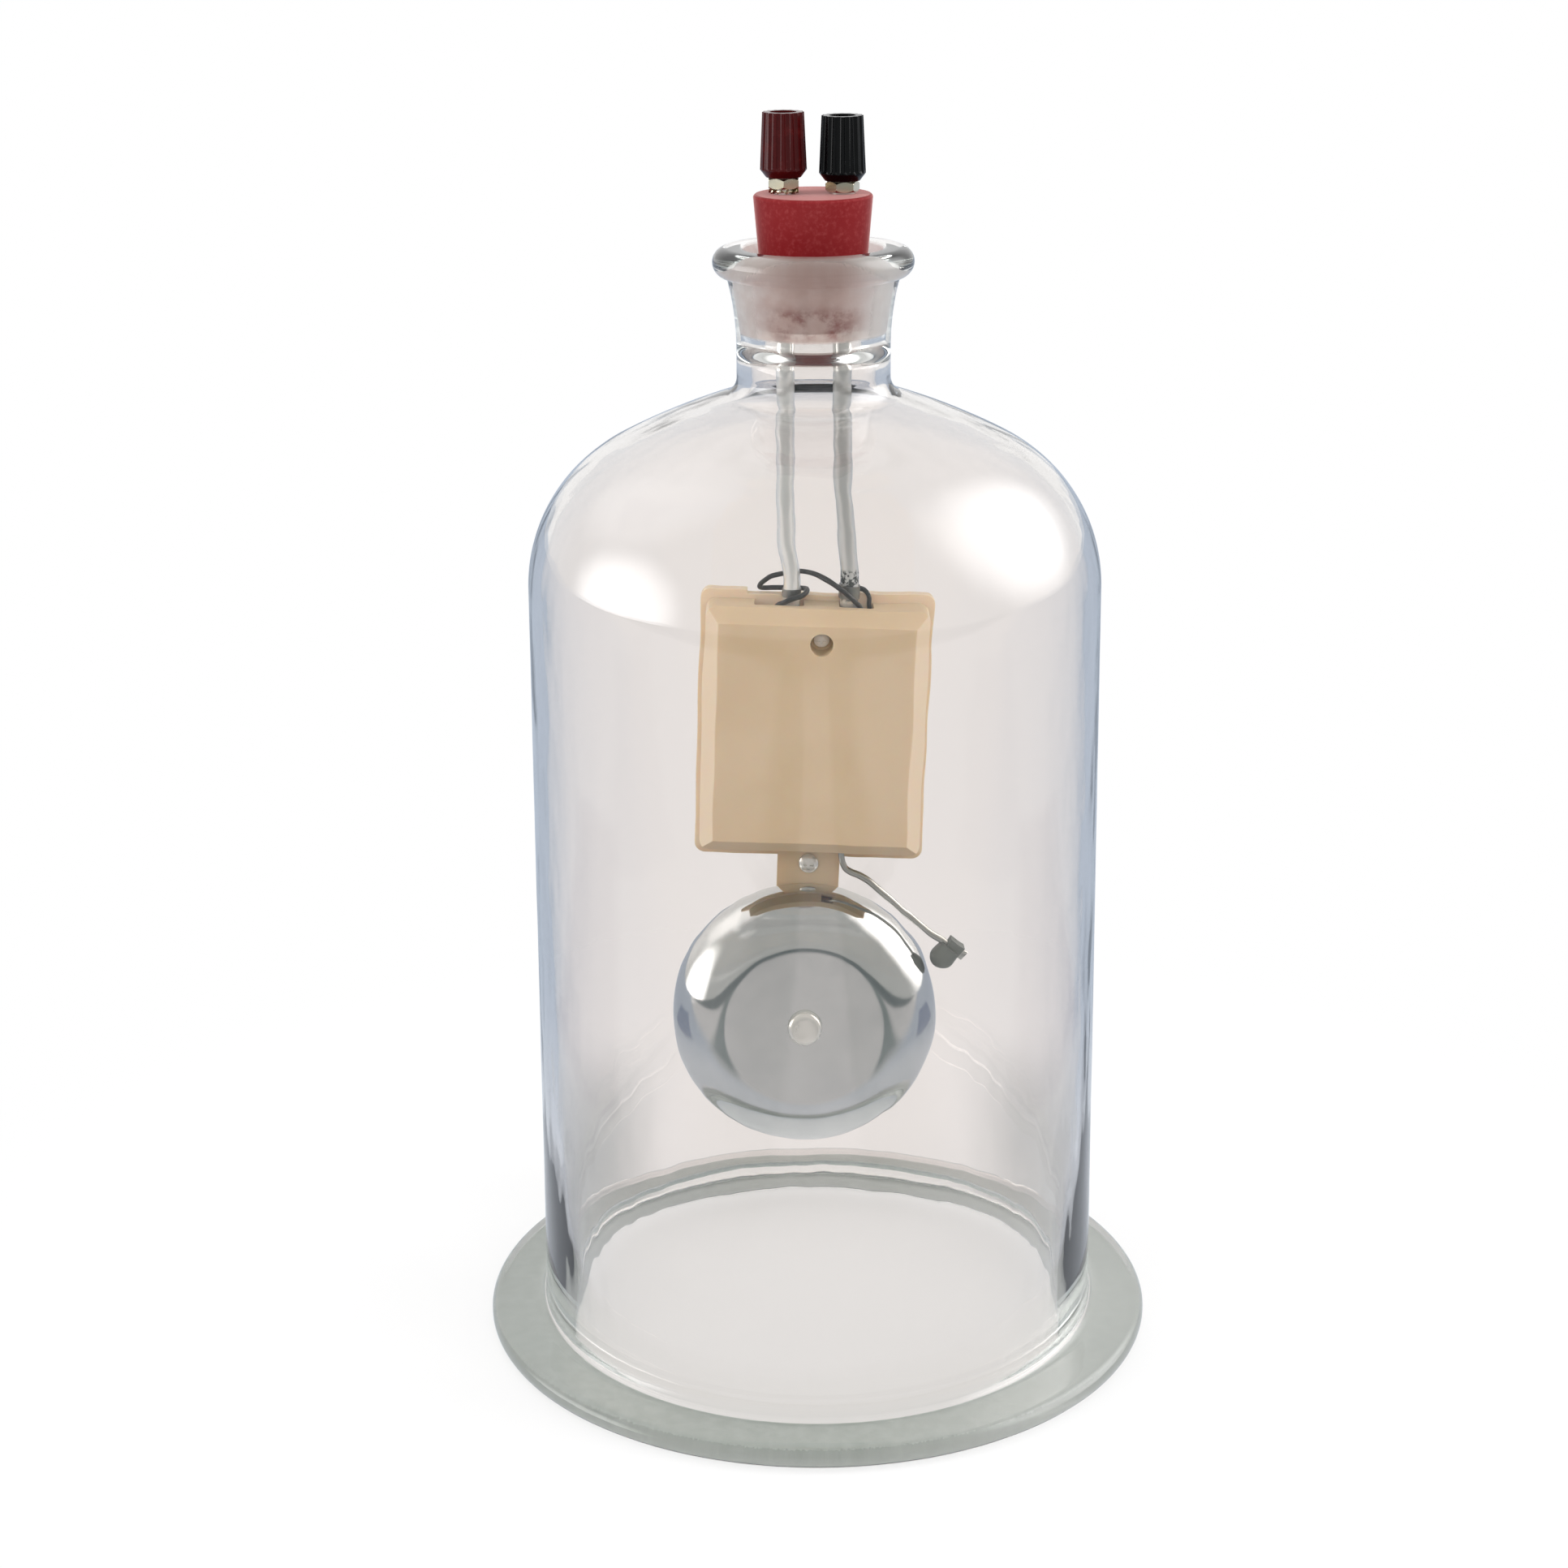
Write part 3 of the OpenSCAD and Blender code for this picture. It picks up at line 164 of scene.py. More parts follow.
# %% [markdown]
# ## Starting a material
#
# Every finish below starts the same way: an empty Principled shader, and the place of each point
# on the object. Places are in metres, in the object's own frame, so a pattern keeps its real
# scale and travels with the piece when a joint moves it. A value that is the same all over the
# piece is set on the shader itself (`set_plain`), and one that changes from place to place is
# linked to it (`feed`).

# %% One helper for every finish
def set_plain(shader, **plain):
    for socket, value in plain.items():
        name = socket.replace("_", " ").title().replace("Ior", "IOR")
        shader.inputs[name].default_value = value


def finish(name, **plain):
    material = bpy.data.materials.new(name)
    material.use_nodes = True
    tree = material.node_tree
    shader = tree.nodes["Principled BSDF"]
    set_plain(shader, **plain)
    place = Value(tree, tree.nodes.new("ShaderNodeTexCoord").outputs["Object"])
    return material, place, shader


def feed(shader, **linked):
    for socket, value in linked.items():
        value.tree.links.new(value.socket, shader.inputs[socket.replace("_", " ").title()])


def to_output(value, socket="Surface"):
    value.tree.links.new(value.socket, value.tree.nodes["Material Output"].inputs[socket])


def dress(material, *nodes):
    for node in nodes:
        mesh = frame["nodes"][node].data
        mesh.materials.clear()
        mesh.materials.append(material)


print("a finish can be set, fed and put on a solid")

# %% [markdown]
# ## The clear glass
#
# Blown glass is clear but never perfect. It takes a little colour from each wall, and its
# surface ripples. Where the stopper sits in the neck, and under the flange, it is ground matt.
# So there are two shaders, mixed by place: a clear one that refracts, and a dull one that blurs
# what is behind it and scatters light by itself.

# %% Clear glass, and where it is ground
seat_low, seat_high = 0.2920, 0.3150
clear_glass, place, shader = finish("clear_glass", base_color=rgb(247, 243, 241),
                                    transmission_weight=1.0, ior=1.5, roughness=0.0)
tree = clear_glass.node_tree
side, depth, height = place.part("X"), place.part("Y"), place.part("Z")
radius = (side ** 2 + depth ** 2) ** 0.5
in_seat = height.within(seat_low, seat_low + 0.0012, seat_high, seat_high + 0.001)
in_seat = in_seat * radius.until(0.0190, 0.0196)
under_flange = height.until(0.00005, 0.0002)
ground = in_seat.larger(under_flange)
ripple = place.stretched(1, 1, 0.35).noise(0.02, 2.0)
feed(shader, normal=ripple.bump(0.0006, 0.35))
print("glass from", seat_low, "to", seat_high, "is ground")

# %% [markdown]
# ## The ground surface
#
# The seat in the neck looks like rime: painted light makes it nearly white on its right, painted
# shade makes it greyer in the middle, and reddish smudges at the front are the painted red of the
# rubber that touches it from behind, seen through the ground glass. The lower face of the flange
# is seen through thick glass, so it is sea green, with painted light making it lighter towards
# both sides. Fine noise in colour and bump stands for the marks of the grinding.

# %% Rime in the neck, sea green under the flange
dull = tree.nodes.new("ShaderNodeBsdfPrincipled")
set_plain(dull, roughness=0.5, transmission_weight=0.4, ior=1.3)
grit = place.noise(0.004, 4.0).between(0.3, 0.75)

right_painted_light, middle_painted_shade = side.between(0.003, 0.014), abs(side).until(0.005, 0.014)
rime = grit.mix(rgb(230, 211, 203), rgb(246, 235, 229))
# painted light: the right side of the seat is mixed towards nearly white
rime = (right_painted_light * 0.6).mix(rime, rgb(255, 252, 249))
# painted shade: the middle of the seat is mixed towards a greyer colour
rime = (middle_painted_shade * 0.5).mix(rime, rgb(184, 150, 139))
touched = height.within(0.2905, 0.295, 0.2995, 0.304) * depth.until(-0.013, -0.007)
# painted: the red of the rubber behind, seen through the ground glass as reddish smudges at the
# front
rubber_seen_through = place.noise(0.006, 5.0, 0.65).between(0.37, 0.62) * touched
frosted = (rubber_seen_through * 0.85).mix(rime, rgb(136, 66, 57))

# painted light: the flange's lower face is lighter towards both sides, more on the right
flange_painted_light = side.between(0.0, 0.095) * 0.7 + side.until(-0.095, -0.05) * 0.45
sea_green = grit.mix(rgb(166, 174, 167), rgb(180, 187, 181))
sea_green = flange_painted_light.mix(sea_green, rgb(216, 219, 215))

far_below_neck = height.until(0.28, 0.285)
feed(dull, base_color=far_below_neck.mix(frosted, sea_green),
     normal=place.noise(0.0006, 2.0).bump(0.00006, 0.5))
print("ground glass mixed")

# %% [markdown]
# ## Putting the glass together
#
# Refracting glass would keep the lamps' light from the bell, because a shadow ray can't be
# bent. So a shadow ray sees a plain tinted film in its place, a darker one where it meets the
# glass edge on, as thick edges send most light elsewhere. Absorption inside the glass takes
# away some red, which makes the rim and the flange greenish.

# %% Two surfaces, two films and the tint of thick glass
ground_share = ground * 0.96
glass_surface = ground_share.blend(Value(tree, shader.outputs[0]), Value(tree, dull.outputs[0]))
film = place.node("ShaderNodeBsdfTransparent", (), {"Color": (0.93, 0.93, 0.925, 1)})
edge_film = place.node("ShaderNodeBsdfTransparent", (), {"Color": (0.42, 0.44, 0.43, 1)})
edge_on = place.node("ShaderNodeLayerWeight", out="Facing") ** 3.0
lamp_ray = place.node("ShaderNodeLightPath", out="Is Shadow Ray")
to_output(lamp_ray.blend(glass_surface, edge_on.blend(film, edge_film)))
soak = place.node("ShaderNodeVolumeAbsorption", (), {"Color": (0.40, 0.52, 0.47, 1),
                                                     "Density": 7.0})
to_output(soak, "Volume")
print("thick glass soaks up a little red light")

# %% [markdown]
# ## The shape of the jar
#
# The solid jar is exact but its picture mesh is made of flat facets, and glass shows every facet
# twice. So we spin the same outline again with many more points. The outline is a chain of arcs
# that meet without a corner: flange, fillet, wall, shoulder, dome, root of the neck, flare and
# rim. All sizes are millimetres here, the same as in the solid.

# %% Sizes of the jar
mm = 0.001


def cos_deg(turn): return math.cos(math.radians(turn))
def sin_deg(turn): return math.sin(math.radians(turn))


def arc(x, z, r, start, end, steps=16):
    turns = [start + (end - start) * i / steps for i in range(steps + 1)]
    return [(x + r * cos_deg(turn), z + r * sin_deg(turn)) for turn in turns]


foot_r, top_r, neck_r, wall, flange_r, flange_t = 81.0, 79.3, 20.9, 4.0, 97.5, 6.5
jar_h, shoulder_r, shoulder_turn, dome_r, root_r = 316.0, 45.0, 62.0, 200.0, 5.0
root_x, root_z = neck_r + root_r, jar_h - 35.0
dome_x = top_r - shoulder_r - (dome_r - shoulder_r) * cos_deg(shoulder_turn)
dome_z = root_z - math.sqrt((dome_r + root_r) ** 2 - (root_x - dome_x) ** 2)
shoulder_z = dome_z + (dome_r - shoulder_r) * sin_deg(shoulder_turn)
root_turn = math.degrees(math.atan2(root_z - dome_z, root_x - dome_x))
waist_z, flare, rim_r, rim_x = jar_h - 27.0, 2.5, 4.0, 23.2
flare_h = jar_h - 2 * rim_r - waist_z
flare_r = (flare_h ** 2 + flare ** 2) / (2 * flare)
flare_turn = math.degrees(math.asin(flare_h / flare_r))
print("shoulder at", round(shoulder_z, 2), "mm, root turn", round(root_turn, 2), "degrees")

# %% Outer half of the outline, from the flange's edge up to the rim
edge_r, fillet_r = flange_t / 2, 4


def straight(a, b, steps):
    return [(a[0] + (b[0] - a[0]) * i / steps, a[1] + (b[1] - a[1]) * i / steps)
            for i in range(1, steps)]


def outer_half():
    edge_x = flange_r - edge_r
    fillet = arc(foot_r + fillet_r, flange_t + fillet_r, fillet_r, 270, 180)
    shoulder = arc(top_r - shoulder_r, shoulder_z, shoulder_r, 0, shoulder_turn, 40)
    return ([(edge_x, 0)] + arc(edge_x, edge_r, edge_r, -80, 90)
            + straight((edge_x, flange_t), fillet[0], 4) + fillet
            + straight(fillet[-1], shoulder[0], 40) + shoulder
            + arc(dome_x, dome_z, dome_r, shoulder_turn + 0.6, root_turn - 0.3, 24)
            + arc(root_x, root_z, root_r, 180 + root_turn, 180)
            + arc(neck_r + flare_r, waist_z, flare_r, 180, 180 - flare_turn)
            + arc(rim_x, jar_h - rim_r, rim_r, -74, 90, 24))


outer = outer_half()
print(len(outer), "points outside")

# %% [markdown]
# ## The inside of the jar
#
# Inside, the neck has a tapered seat that fits the stopper with a tenth of a millimetre to
# spare. The photograph shows thicker glass near the foot than the solid has, so the inside
# swells there by up to two and a half millimetres. Nothing outside changes.

# %% Inner half of the outline, from the mouth down to the foot
stopper_low, stopper_high, stopper_bottom, stopper_h, seat_gap = 13.1, 16.1, 295.0, 35.0, 0.1
seat_top, seat_foot = jar_h - 7.5, jar_h - 25.0
mouth_r, mouth_round, foot_round = 19.2, 2, 3
ease_steps, ease_drop = 10, 0.6
foot_extra, foot_grows = 2.5, 70.0


def seat_r(z):
    taper = (stopper_high - stopper_low) * (z - stopper_bottom) / stopper_h
    return stopper_low + taper + seat_gap


def swell(z):
    return foot_extra * (0.5 + 0.5 * math.cos(math.pi * min(1, z / foot_grows)))


def inner_half():
    mouth_x = rim_x - mouth_round - (rim_x - mouth_round - mouth_r) / 2
    top, foot = (seat_r(seat_top), seat_top), (seat_r(seat_foot), seat_foot)
    gap = neck_r - wall - foot[0]
    ease = [0.5 - 0.5 * math.cos(math.pi * i / ease_steps) for i in range(ease_steps + 1)]
    shoulder = arc(top_r - shoulder_r, shoulder_z, shoulder_r - wall, shoulder_turn, 0, 40)
    wall_line = straight(shoulder[-1], (foot_r - wall, foot_round), 40)
    foot_x = foot_r - wall - foot_extra + foot_round
    return (arc(mouth_x, jar_h - mouth_round, mouth_round, 90, 155, 8)
            + [top] + straight(top, foot, 6)
            + [(foot[0] + gap * e, seat_foot - ease_drop * i) for i, e in enumerate(ease)]
            + arc(root_x, root_z, root_r + wall, 180, 180 + root_turn)
            + arc(dome_x, dome_z, dome_r - wall, root_turn - 0.5, shoulder_turn + 0.5, 24)
            + shoulder + [(x - swell(z), z) for x, z in wall_line]
            + arc(foot_x, foot_round, foot_round, 180, 270, 8))


outline = outer + inner_half()
print(len(outline), "points round the wall")

# %% [markdown]
# ## Spinning an outline
#
# A lathe is the natural tool for a jar, a gong or a knob. Screw modifiers do the same, but a
# small function lets us add the unevenness of hand work while the rings are laid down. A
# second helper puts any finished mesh on its body in place of a solid.

# %% Lathe
def shown(name, mesh, material, body, *nodes, slot=None):
    piece = bpy.data.objects.new(name, mesh)
    bpy.context.scene.collection.objects.link(piece)
    mesh.materials.clear()
    mesh.materials.append(material)
    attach(piece, body)
    if nodes:
        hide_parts(*nodes)
    return piece


def lathe(name, points, around, uneven=None, closed=True):
    mesh = bpy.data.meshes.new(name)
    verts, faces = [], []
    count = len(points)
    for k in range(around):
        turn = 2 * math.pi * k / around
        for x, z in points:
            r = x * mm + (uneven(x, z, turn) if uneven else 0.0)
            verts.append((r * math.cos(turn), r * math.sin(turn), z * mm))
    for k in range(around):
        here, there = k * count, (k + 1) % around * count
        for i in range(count if closed else count - 1):
            j = (i + 1) % count
            faces.append((here + i, there + i, there + j, here + j))
    mesh.from_pydata(verts, [], faces)
    mesh.validate()
    mesh.shade_smooth()
    mesh.set_sharp_from_angle(angle=math.radians(32))
    return mesh


print("lathe ready")

# %% [markdown]
# ## Blown glass is uneven
#
# A wall that was blown varies by a few tenths of a millimetre, more on its inside than on its
# outside and most at the root of the neck. That is what makes the rods look wavy behind it.
# Two sizes of smooth noise give it. The flange and the rim were worked flat, so they stay even.

# %% The jar
even_below, even_above = 4, 306
wide_wave, wide_depth = 34, 0.12
close_wave, close_depth, other_place = 11, 0.05, Vector((7, 3, 1))
root_depth, wavy_z, wavy_reach = 0.22, 272, 24
outside_share = 0.6


def blown(x, z, turn):
    if x > foot_r + 1 or z < even_below or z > even_above:
        return 0.0
    at = Vector((x * math.cos(turn), x * math.sin(turn), z))
    inside = x < neck_r - 1 or (z < shoulder_z and x < top_r - 2)
    near_root = max(0.0, 1 - abs(z - wavy_z) / wavy_reach)
    wide = noise.noise(at / wide_wave) * wide_depth
    close = noise.noise(at / close_wave + other_place) * (close_depth + root_depth * near_root)
    return (wide + close) * (1.0 if inside else outside_share) * mm


jar = shown("jar", lathe("jar", outline, 256, blown), clear_glass, "jar", "glass_jar", slot="glass")
print(len(jar.data.vertices), "points in the jar")

# %% [markdown]
# ## Rounded edges
#
# Moulded plastic and turned metal never have knife edges: a thin bright line on each edge is
# what makes them look real. The solids have true corners, so we copy a solid's mesh, melt its
# flat triangles together and let a Bevel modifier round what is left.

# %% Copy a solid with softened edges
same_point, same_plane, corner = 1e-6, math.radians(0.5), math.radians(30)


def softened(node, material, width, steps=2):
    work = bmesh.new()
    work.from_mesh(frame["nodes"][node].data)
    bmesh.ops.remove_doubles(work, verts=work.verts, dist=same_point)
    bmesh.ops.dissolve_limit(work, angle_limit=same_plane, verts=work.verts, edges=work.edges)
    mesh = bpy.data.meshes.new(node + "_soft")
    work.to_mesh(mesh)
    work.free()
    mesh.shade_smooth()
    helper = bpy.data.objects.new(node + "_helper", mesh)
    bpy.context.scene.collection.objects.link(helper)
    bevel = helper.modifiers.new("edges", "BEVEL")
    bevel.width, bevel.segments, bevel.limit_method = width * mm, steps, "ANGLE"
    bevel.angle_limit, bevel.harden_normals = corner, True
    helper.modifiers.new("flat_faces", "WEIGHTED_NORMAL").keep_sharp = True
    ready = helper.evaluated_get(bpy.context.evaluated_depsgraph_get())
    rounded = bpy.data.meshes.new_from_object(ready)
    bpy.data.objects.remove(helper)
    return shown(node + "_soft", rounded, material, body_of_node[node], node)


print("corners sharper than", round(math.degrees(corner)), "degrees will be rounded")

# %% [markdown]
# ## Cream moulded plastic
#
# The case is an old cream moulding. It is slightly waxy: light goes a little way in and comes
# out warmer, which subsurface scattering gives by itself. Light is painted into its colour as a
# paler tint on the bevels left and right of the cover's flat panel, and on the base plate behind
# it. The whole bell leans a little, so the panel is found in coordinates that lean with it. On
# top there is a very fine pebble from the mould and faint broad patches of yellowing.

# %% Where light is painted on the case
cream, place, shader = finish("cream_plastic", roughness=0.42, subsurface_weight=0.35,
                              subsurface_scale=0.004, subsurface_radius=(1.0, 0.45, 0.2),
                              specular_ior_level=0.15)
lean = math.radians(2.4)
middle_x, middle_z, panel_x, panel_z = -0.0081, 0.1817, 0.0273, 0.0315
across = place.towards(math.cos(lean), 0, -math.sin(lean)) - middle_x
level = place.towards(math.sin(lean), 0, math.cos(lean)) - middle_z
beyond_x, beyond_z = abs(across) - panel_x, abs(level) - panel_z
side_bevel = (beyond_x - beyond_z.larger(0)).between(-0.0003, 0.0003)
plate = place.part("Y").between(0.0022, 0.0026) * level.between(-0.039, -0.037)
# painted light: the side bevels and the plate's top strip get a paler cream
case_painted_light = side_bevel.larger(plate)
print("the panel is", 2 * panel_x, "by", 2 * panel_z, "m")

# %% The case
patches = place.noise(0.025, 3.0).between(0.35, 0.7)
pebble = place.noise(0.0009, 2.0)
waxy = patches.mix(rgb(217, 194, 163), rgb(211, 187, 154))
# painted light: a paler cream on the side bevels and the plate's top strip
feed(shader, base_color=(case_painted_light * 0.9).mix(waxy, rgb(237, 216, 190)),
     roughness=0.48 + patches * 0.1, normal=pebble.bump(0.00003, 0.25))
for node, width in (("base_plate", 0.45), ("cover", 0.7)):
    piece = softened(node, cream, width, 3)
print("case dressed")

# %% [markdown]
# ## Red rubber
#
# The stopper is dull red rubber with a bloom of pale dust. Sheen makes it paler where we look
# along the surface, as dust does, and fine noise in the colour keeps the rubber from looking
# like paint.

# %% The stopper
rubber, place, shader = finish("red_rubber", roughness=0.62, sheen_weight=1.0,
                               sheen_roughness=0.26, sheen_tint=rgb(235, 190, 185),
                               specular_ior_level=0.15)
dust = place.noise(0.0012, 4.0, 0.6).between(0.45, 0.75)
cloud = place.noise(0.012, 2.0)
bloom = dust * 0.12 + cloud * 0.1
feed(shader, base_color=bloom.mix(rgb(110, 2, 10), rgb(198, 110, 108)),
     normal=place.noise(0.0007, 3.0).bump(0.00005, 0.5))
stopper = softened("rubber_stopper", rubber, 0.3)
print("stopper dressed")

# %% [markdown]
# ## Post caps
#
# Both caps are smooth mouldings with sixteen flutes. The red one is so dark that it only looks
# red where light strikes it, so its colour is nearly black-red. A thin clear coat makes the
# bright lines down the flutes, and the colour is a little rubbed in places. The clamp inside
# the case is of the same black plastic.

# %% Red and black caps
for node, name, colour, worn in (("red_cap", "red_plastic", rgb(58, 8, 9), rgb(92, 22, 20)),
                                 ("black_cap", "black_plastic", rgb(2, 2, 3), rgb(14, 15, 17))):
    cap, place, shader = finish(name, coat_weight=0.18, coat_roughness=0.04, roughness=0.25,
                                specular_ior_level=0.1)
    rub = place.noise(0.004, 4.0).between(0.5, 0.8)
    feed(shader, base_color=(rub * 0.5).mix(colour, worn), roughness=0.22 + rub * 0.2)
    softened(node, cap, 0.2)
    if node == "black_cap":
        dress(cap, "rod_clamp")
print("caps dressed")

# %% [markdown]
# ## Metals
#
# Bright plating, plain steel, iron, brass and solder differ in colour and in how sharp their
# reflections are. One function makes them all: a base colour, a faint stain, a roughness that
# wanders a little and fine scratches for the bump. Where a metal is greyed by a skin of oxide
# or paint, `metallic` is below one, and a part of its light is scattered.

# %% Metal finishes
def metal(name, colour, stain, rough, grain=0.0008, depth=0.00001, stretch=(1, 1, 1),
          metallic=1.0):
    material, place, shader = finish(name, metallic=metallic, roughness=rough)
    wander = place.noise(0.008, 3.0).between(0.3, 0.7)
    scratch = place.stretched(*stretch).noise(grain, 3.0)
    feed(shader, base_color=(wander * 0.5).mix(colour, stain), roughness=rough + wander * 0.08,
         normal=scratch.bump(depth, 0.4))
    return material


plated = metal("plated_rod", rgb(252, 253, 251), rgb(238, 240, 237), 0.13, 0.0012, 0.000004,
               (1, 1, 0.1), 0.6)
nickel = metal("plated_nut", rgb(236, 228, 206), rgb(210, 196, 160), 0.2)
steel = metal("plain_steel", rgb(196, 196, 190), rgb(168, 166, 158), 0.26)
iron = metal("soft_iron", rgb(150, 150, 148), rgb(112, 108, 104), 0.42)
brass = metal("turned_brass", rgb(214, 184, 116), rgb(176, 142, 82), 0.25)
solder = metal("dull_solder", rgb(150, 152, 150), rgb(92, 94, 94), 0.45, 0.0012, 0.0002)
silvery = metal("polished_screw", rgb(236, 235, 229), rgb(214, 212, 204), 0.22, metallic=0.7)
deep_screw = metal("screw_in_the_well", rgb(255, 253, 248), rgb(244, 241, 234), 0.3,
                   metallic=0.15)
struck = metal("striker_metal", rgb(122, 127, 121), rgb(98, 103, 98), 0.45, metallic=0.5)
dress(brass, "red_socket", "black_socket", "contact_bracket", "contact_screw",
      "contact_lock_nut", "contact_leaf", "armature_rivets")
dress(steel, "black_washer", "gong_strip", "gong_post", "clamp_screw", "spring_bracket",
      "frame_screws", "armature_spring")
dress(iron, "magnet_yoke", "magnet_cores", "armature")
dress(solder, "solder_joints")
print("metals dressed")

# %% [markdown]
# ## The tinned end of the right rod
#
# The right rod is a shade greyer than the left one, and just above the case it carries dark
# blots of old solder. Both are found by place, because the two rods share one finish.

# %% Rods
tree = plated.node_tree
shader = tree.nodes["Principled BSDF"]
place = Value(tree, tree.nodes["Texture Coordinate"].outputs["Object"])
right_rod = place.part("X").between(0, 0.001)
tinned = place.part("Z").within(0.2175, 0.219, 0.2262, 0.2275) * right_rod
blot = place.noise(0.0011, 3.0).between(0.45, 0.55) * tinned
shine = Value(tree, shader.inputs["Base Color"].links[0].from_socket)
shine = (right_rod * 0.5).mix(shine, rgb(176, 178, 175))
feed(shader, base_color=blot.mix(shine, rgb(74, 78, 78)))
dress(plated, "red_rod", "black_rod")
print("rods dressed")

# %% Nuts, screws and the striker get softened edges
for node, material, width, slot in (
        ("red_nut", nickel, 0.15, "nut_metal"), ("black_nut", nickel, 0.15, "nut_metal"),
        ("red_star_washer", nickel, 0.06, "nut_metal"), ("strip_nut", nickel, 0.15, "nut_metal"),
        ("cover_screw", deep_screw, 0.1, "steel"), ("strip_screw", silvery, 0.12, "steel"),
        ("striker", struck, 0.25, "striker_metal")):
    softened(node, material, width)
print("small parts softened")

# %% [markdown]
# ## The gong
#
# The gong is drawn from sheet and plated bright. A mirror shows facets even more than glass
# does, so it is spun again from its outline: flat face, one round shoulder, a short straight
# rim and the same shape inside. It hangs from a strip that is bent back by six degrees, so
# first we need the frame of the leaning bell, and in it the frame of the gong.

# %% The frames of the bell and of the gong
bell_frame = Matrix.Translation(Vector((-0.5, 0, 181)) * mm) @ Matrix.Rotation(lean, 4, "Y")
gong_r, gong_depth, gong_turn_r, gong_t, gong_hole_r = 38.1, 17.2, 16.0, 1.2, 2.3
bend_y, bend_z, reach, tip, rim_ahead = 4.6, -60.5, 24.7, math.radians(6), 4
rim_y = -(rim_ahead + (gong_r - reach) * math.sin(tip)) / math.cos(tip)
gong_frame = (bell_frame @ Matrix.Translation(Vector((0, bend_y, bend_z)) * mm)
              @ Matrix.Rotation(-tip, 4, "X") @ Matrix.Translation(Vector((0.5, 0, -reach)) * mm))


def on_gong_axis(y):
    forwards = Matrix.Rotation(math.pi / 2, 4, "X")
    return gong_frame @ Matrix.Translation((0, y * mm, 0)) @ forwards


print("middle of the rim at", [round(v, 4) for v in on_gong_axis(rim_y).to_translation()])

# %% Bright plating
bright, place, shader = finish("gong_plating", metallic=1.0, roughness=0.08)
haze = place.noise(0.012, 4.0).between(0.4, 0.75)
speck = place.noise(0.0011, 3.0).between(0.7, 0.8)
feed(shader, base_color=(haze * 0.3 + speck * 0.2).mix(rgb(216, 219, 218), rgb(196, 200, 200)),
     roughness=0.07 + haze * 0.04 + speck * 0.08)
print("plating mixed")

# %% Spin the gong
turn_x, turn_z = gong_r - gong_turn_r, gong_depth - gong_turn_r
flat_r, post_r, edge = turn_x - 0.6, 10, 0.15
inner_r, inner_depth = gong_r - gong_t, gong_depth - gong_t
sheet = ([(gong_hole_r, gong_depth), (post_r, gong_depth), (flat_r, gong_depth)]
         + arc(turn_x, turn_z, gong_turn_r, 89, 0, 44)
         + [(gong_r, edge), (gong_r - edge, 0), (inner_r + edge, 0), (inner_r, edge)]
         + arc(turn_x, turn_z, gong_turn_r - gong_t, 0, 89, 40)
         + [(flat_r, inner_depth), (post_r, inner_depth), (gong_hole_r, inner_depth)])
gong_mesh = lathe("gong", sheet, 160)
gong_mesh.transform(on_gong_axis(rim_y))
gong = shown("gong_spun", gong_mesh, bright, "hanging_bell", "gong", slot="gong_metal")
print(len(gong.data.vertices), "points in the gong")

# %% Screw in the middle of the gong
thread_r, thread_l, head_r, head_h, head_round, centre_r = 2, 11, 4.85, 2.6, 1.4, 0.01
knob = ([(centre_r, -thread_l), (thread_r, -thread_l), (thread_r, 0), (head_r, 0)]
        + arc(head_r - head_round, head_h - head_round, head_round, 0, 84, 8)
        + [(2.6, head_h), (centre_r, head_h)])
knob_mesh = lathe("gong_screw", knob, 64, closed=False)
knob_mesh.transform(on_gong_axis(rim_y - gong_depth))
shown("gong_knob", knob_mesh, silvery, "hanging_bell", "gong_screw", slot="gong_metal")
print("gong screw spun")

# %% [markdown]
# ## Wires and leads
#
# The leads and the hammer wire are round and smooth, and the solids have eight or twelve sides.
# A smooth curve through the same points, with sixteen sides, follows the same route with no
# facets. Blender's curve objects would do for a round wire, but the hammer wire is beaten flat
# at its end, so we lay the rings ourselves and let a function shape each of them.

# %% A smooth line through the points
def smooth_path(points, steps):
    path, last = [], len(points) - 1
    for i in range(last):
        a, b, c, d = (Vector(points[j]) for j in (max(i - 1, 0), i, i + 1, min(i + 2, last)))
        for k in range(steps):
            t = k / steps
            path.append(0.5 * (2 * b + (c - a) * t + (2 * a - 5 * b + 4 * c - d) * t * t
                               + (3 * b - a - 3 * c + d) * t * t * t))
    return path + [Vector(points[-1])]


print("wires follow", len(smooth_path([(0, 0, 0), (1, 0, 0), (2, 1, 0)], 8)), "points")

# %% A wire in the bell's frame
def wire_mesh(name, points, cut, steps=8, around=16):
    line = smooth_path(points, steps)
    last = len(line) - 1
    verts, faces, side = [], [], None
    for i, at in enumerate(line):
        ahead = (line[min(i + 1, last)] - line[max(i - 1, 0)]).normalized()
        if side is None:
            side = Vector((0, 1, 0)) if abs(ahead.y) < 0.9 else Vector((1, 0, 0))
        side = (side - side.dot(ahead) * ahead).normalized()
        across = ahead.cross(side)
        for k in range(around):
            turn = 2 * math.pi * k / around
            out = side * math.cos(turn) + across * math.sin(turn)
            verts.append(bell_frame @ ((at + cut(i / last, out)) * mm))
    for i in range(last):
        here, there = i * around, (i + 1) * around
        for k in range(around):
            n = (k + 1) % around
            faces.append((here + k, here + n, there + n, there + k))
    faces.append(tuple(range(around))[::-1])
    faces.append(tuple(last * around + k for k in range(around)))
    mesh = bpy.data.meshes.new(name)
    mesh.from_pydata(verts, [], faces)
    mesh.shade_smooth()
    mesh.set_sharp_from_angle(angle=math.radians(50))
    return mesh


print("wires are laid in the bell's frame, which leans", round(math.degrees(lean), 1), "degrees")

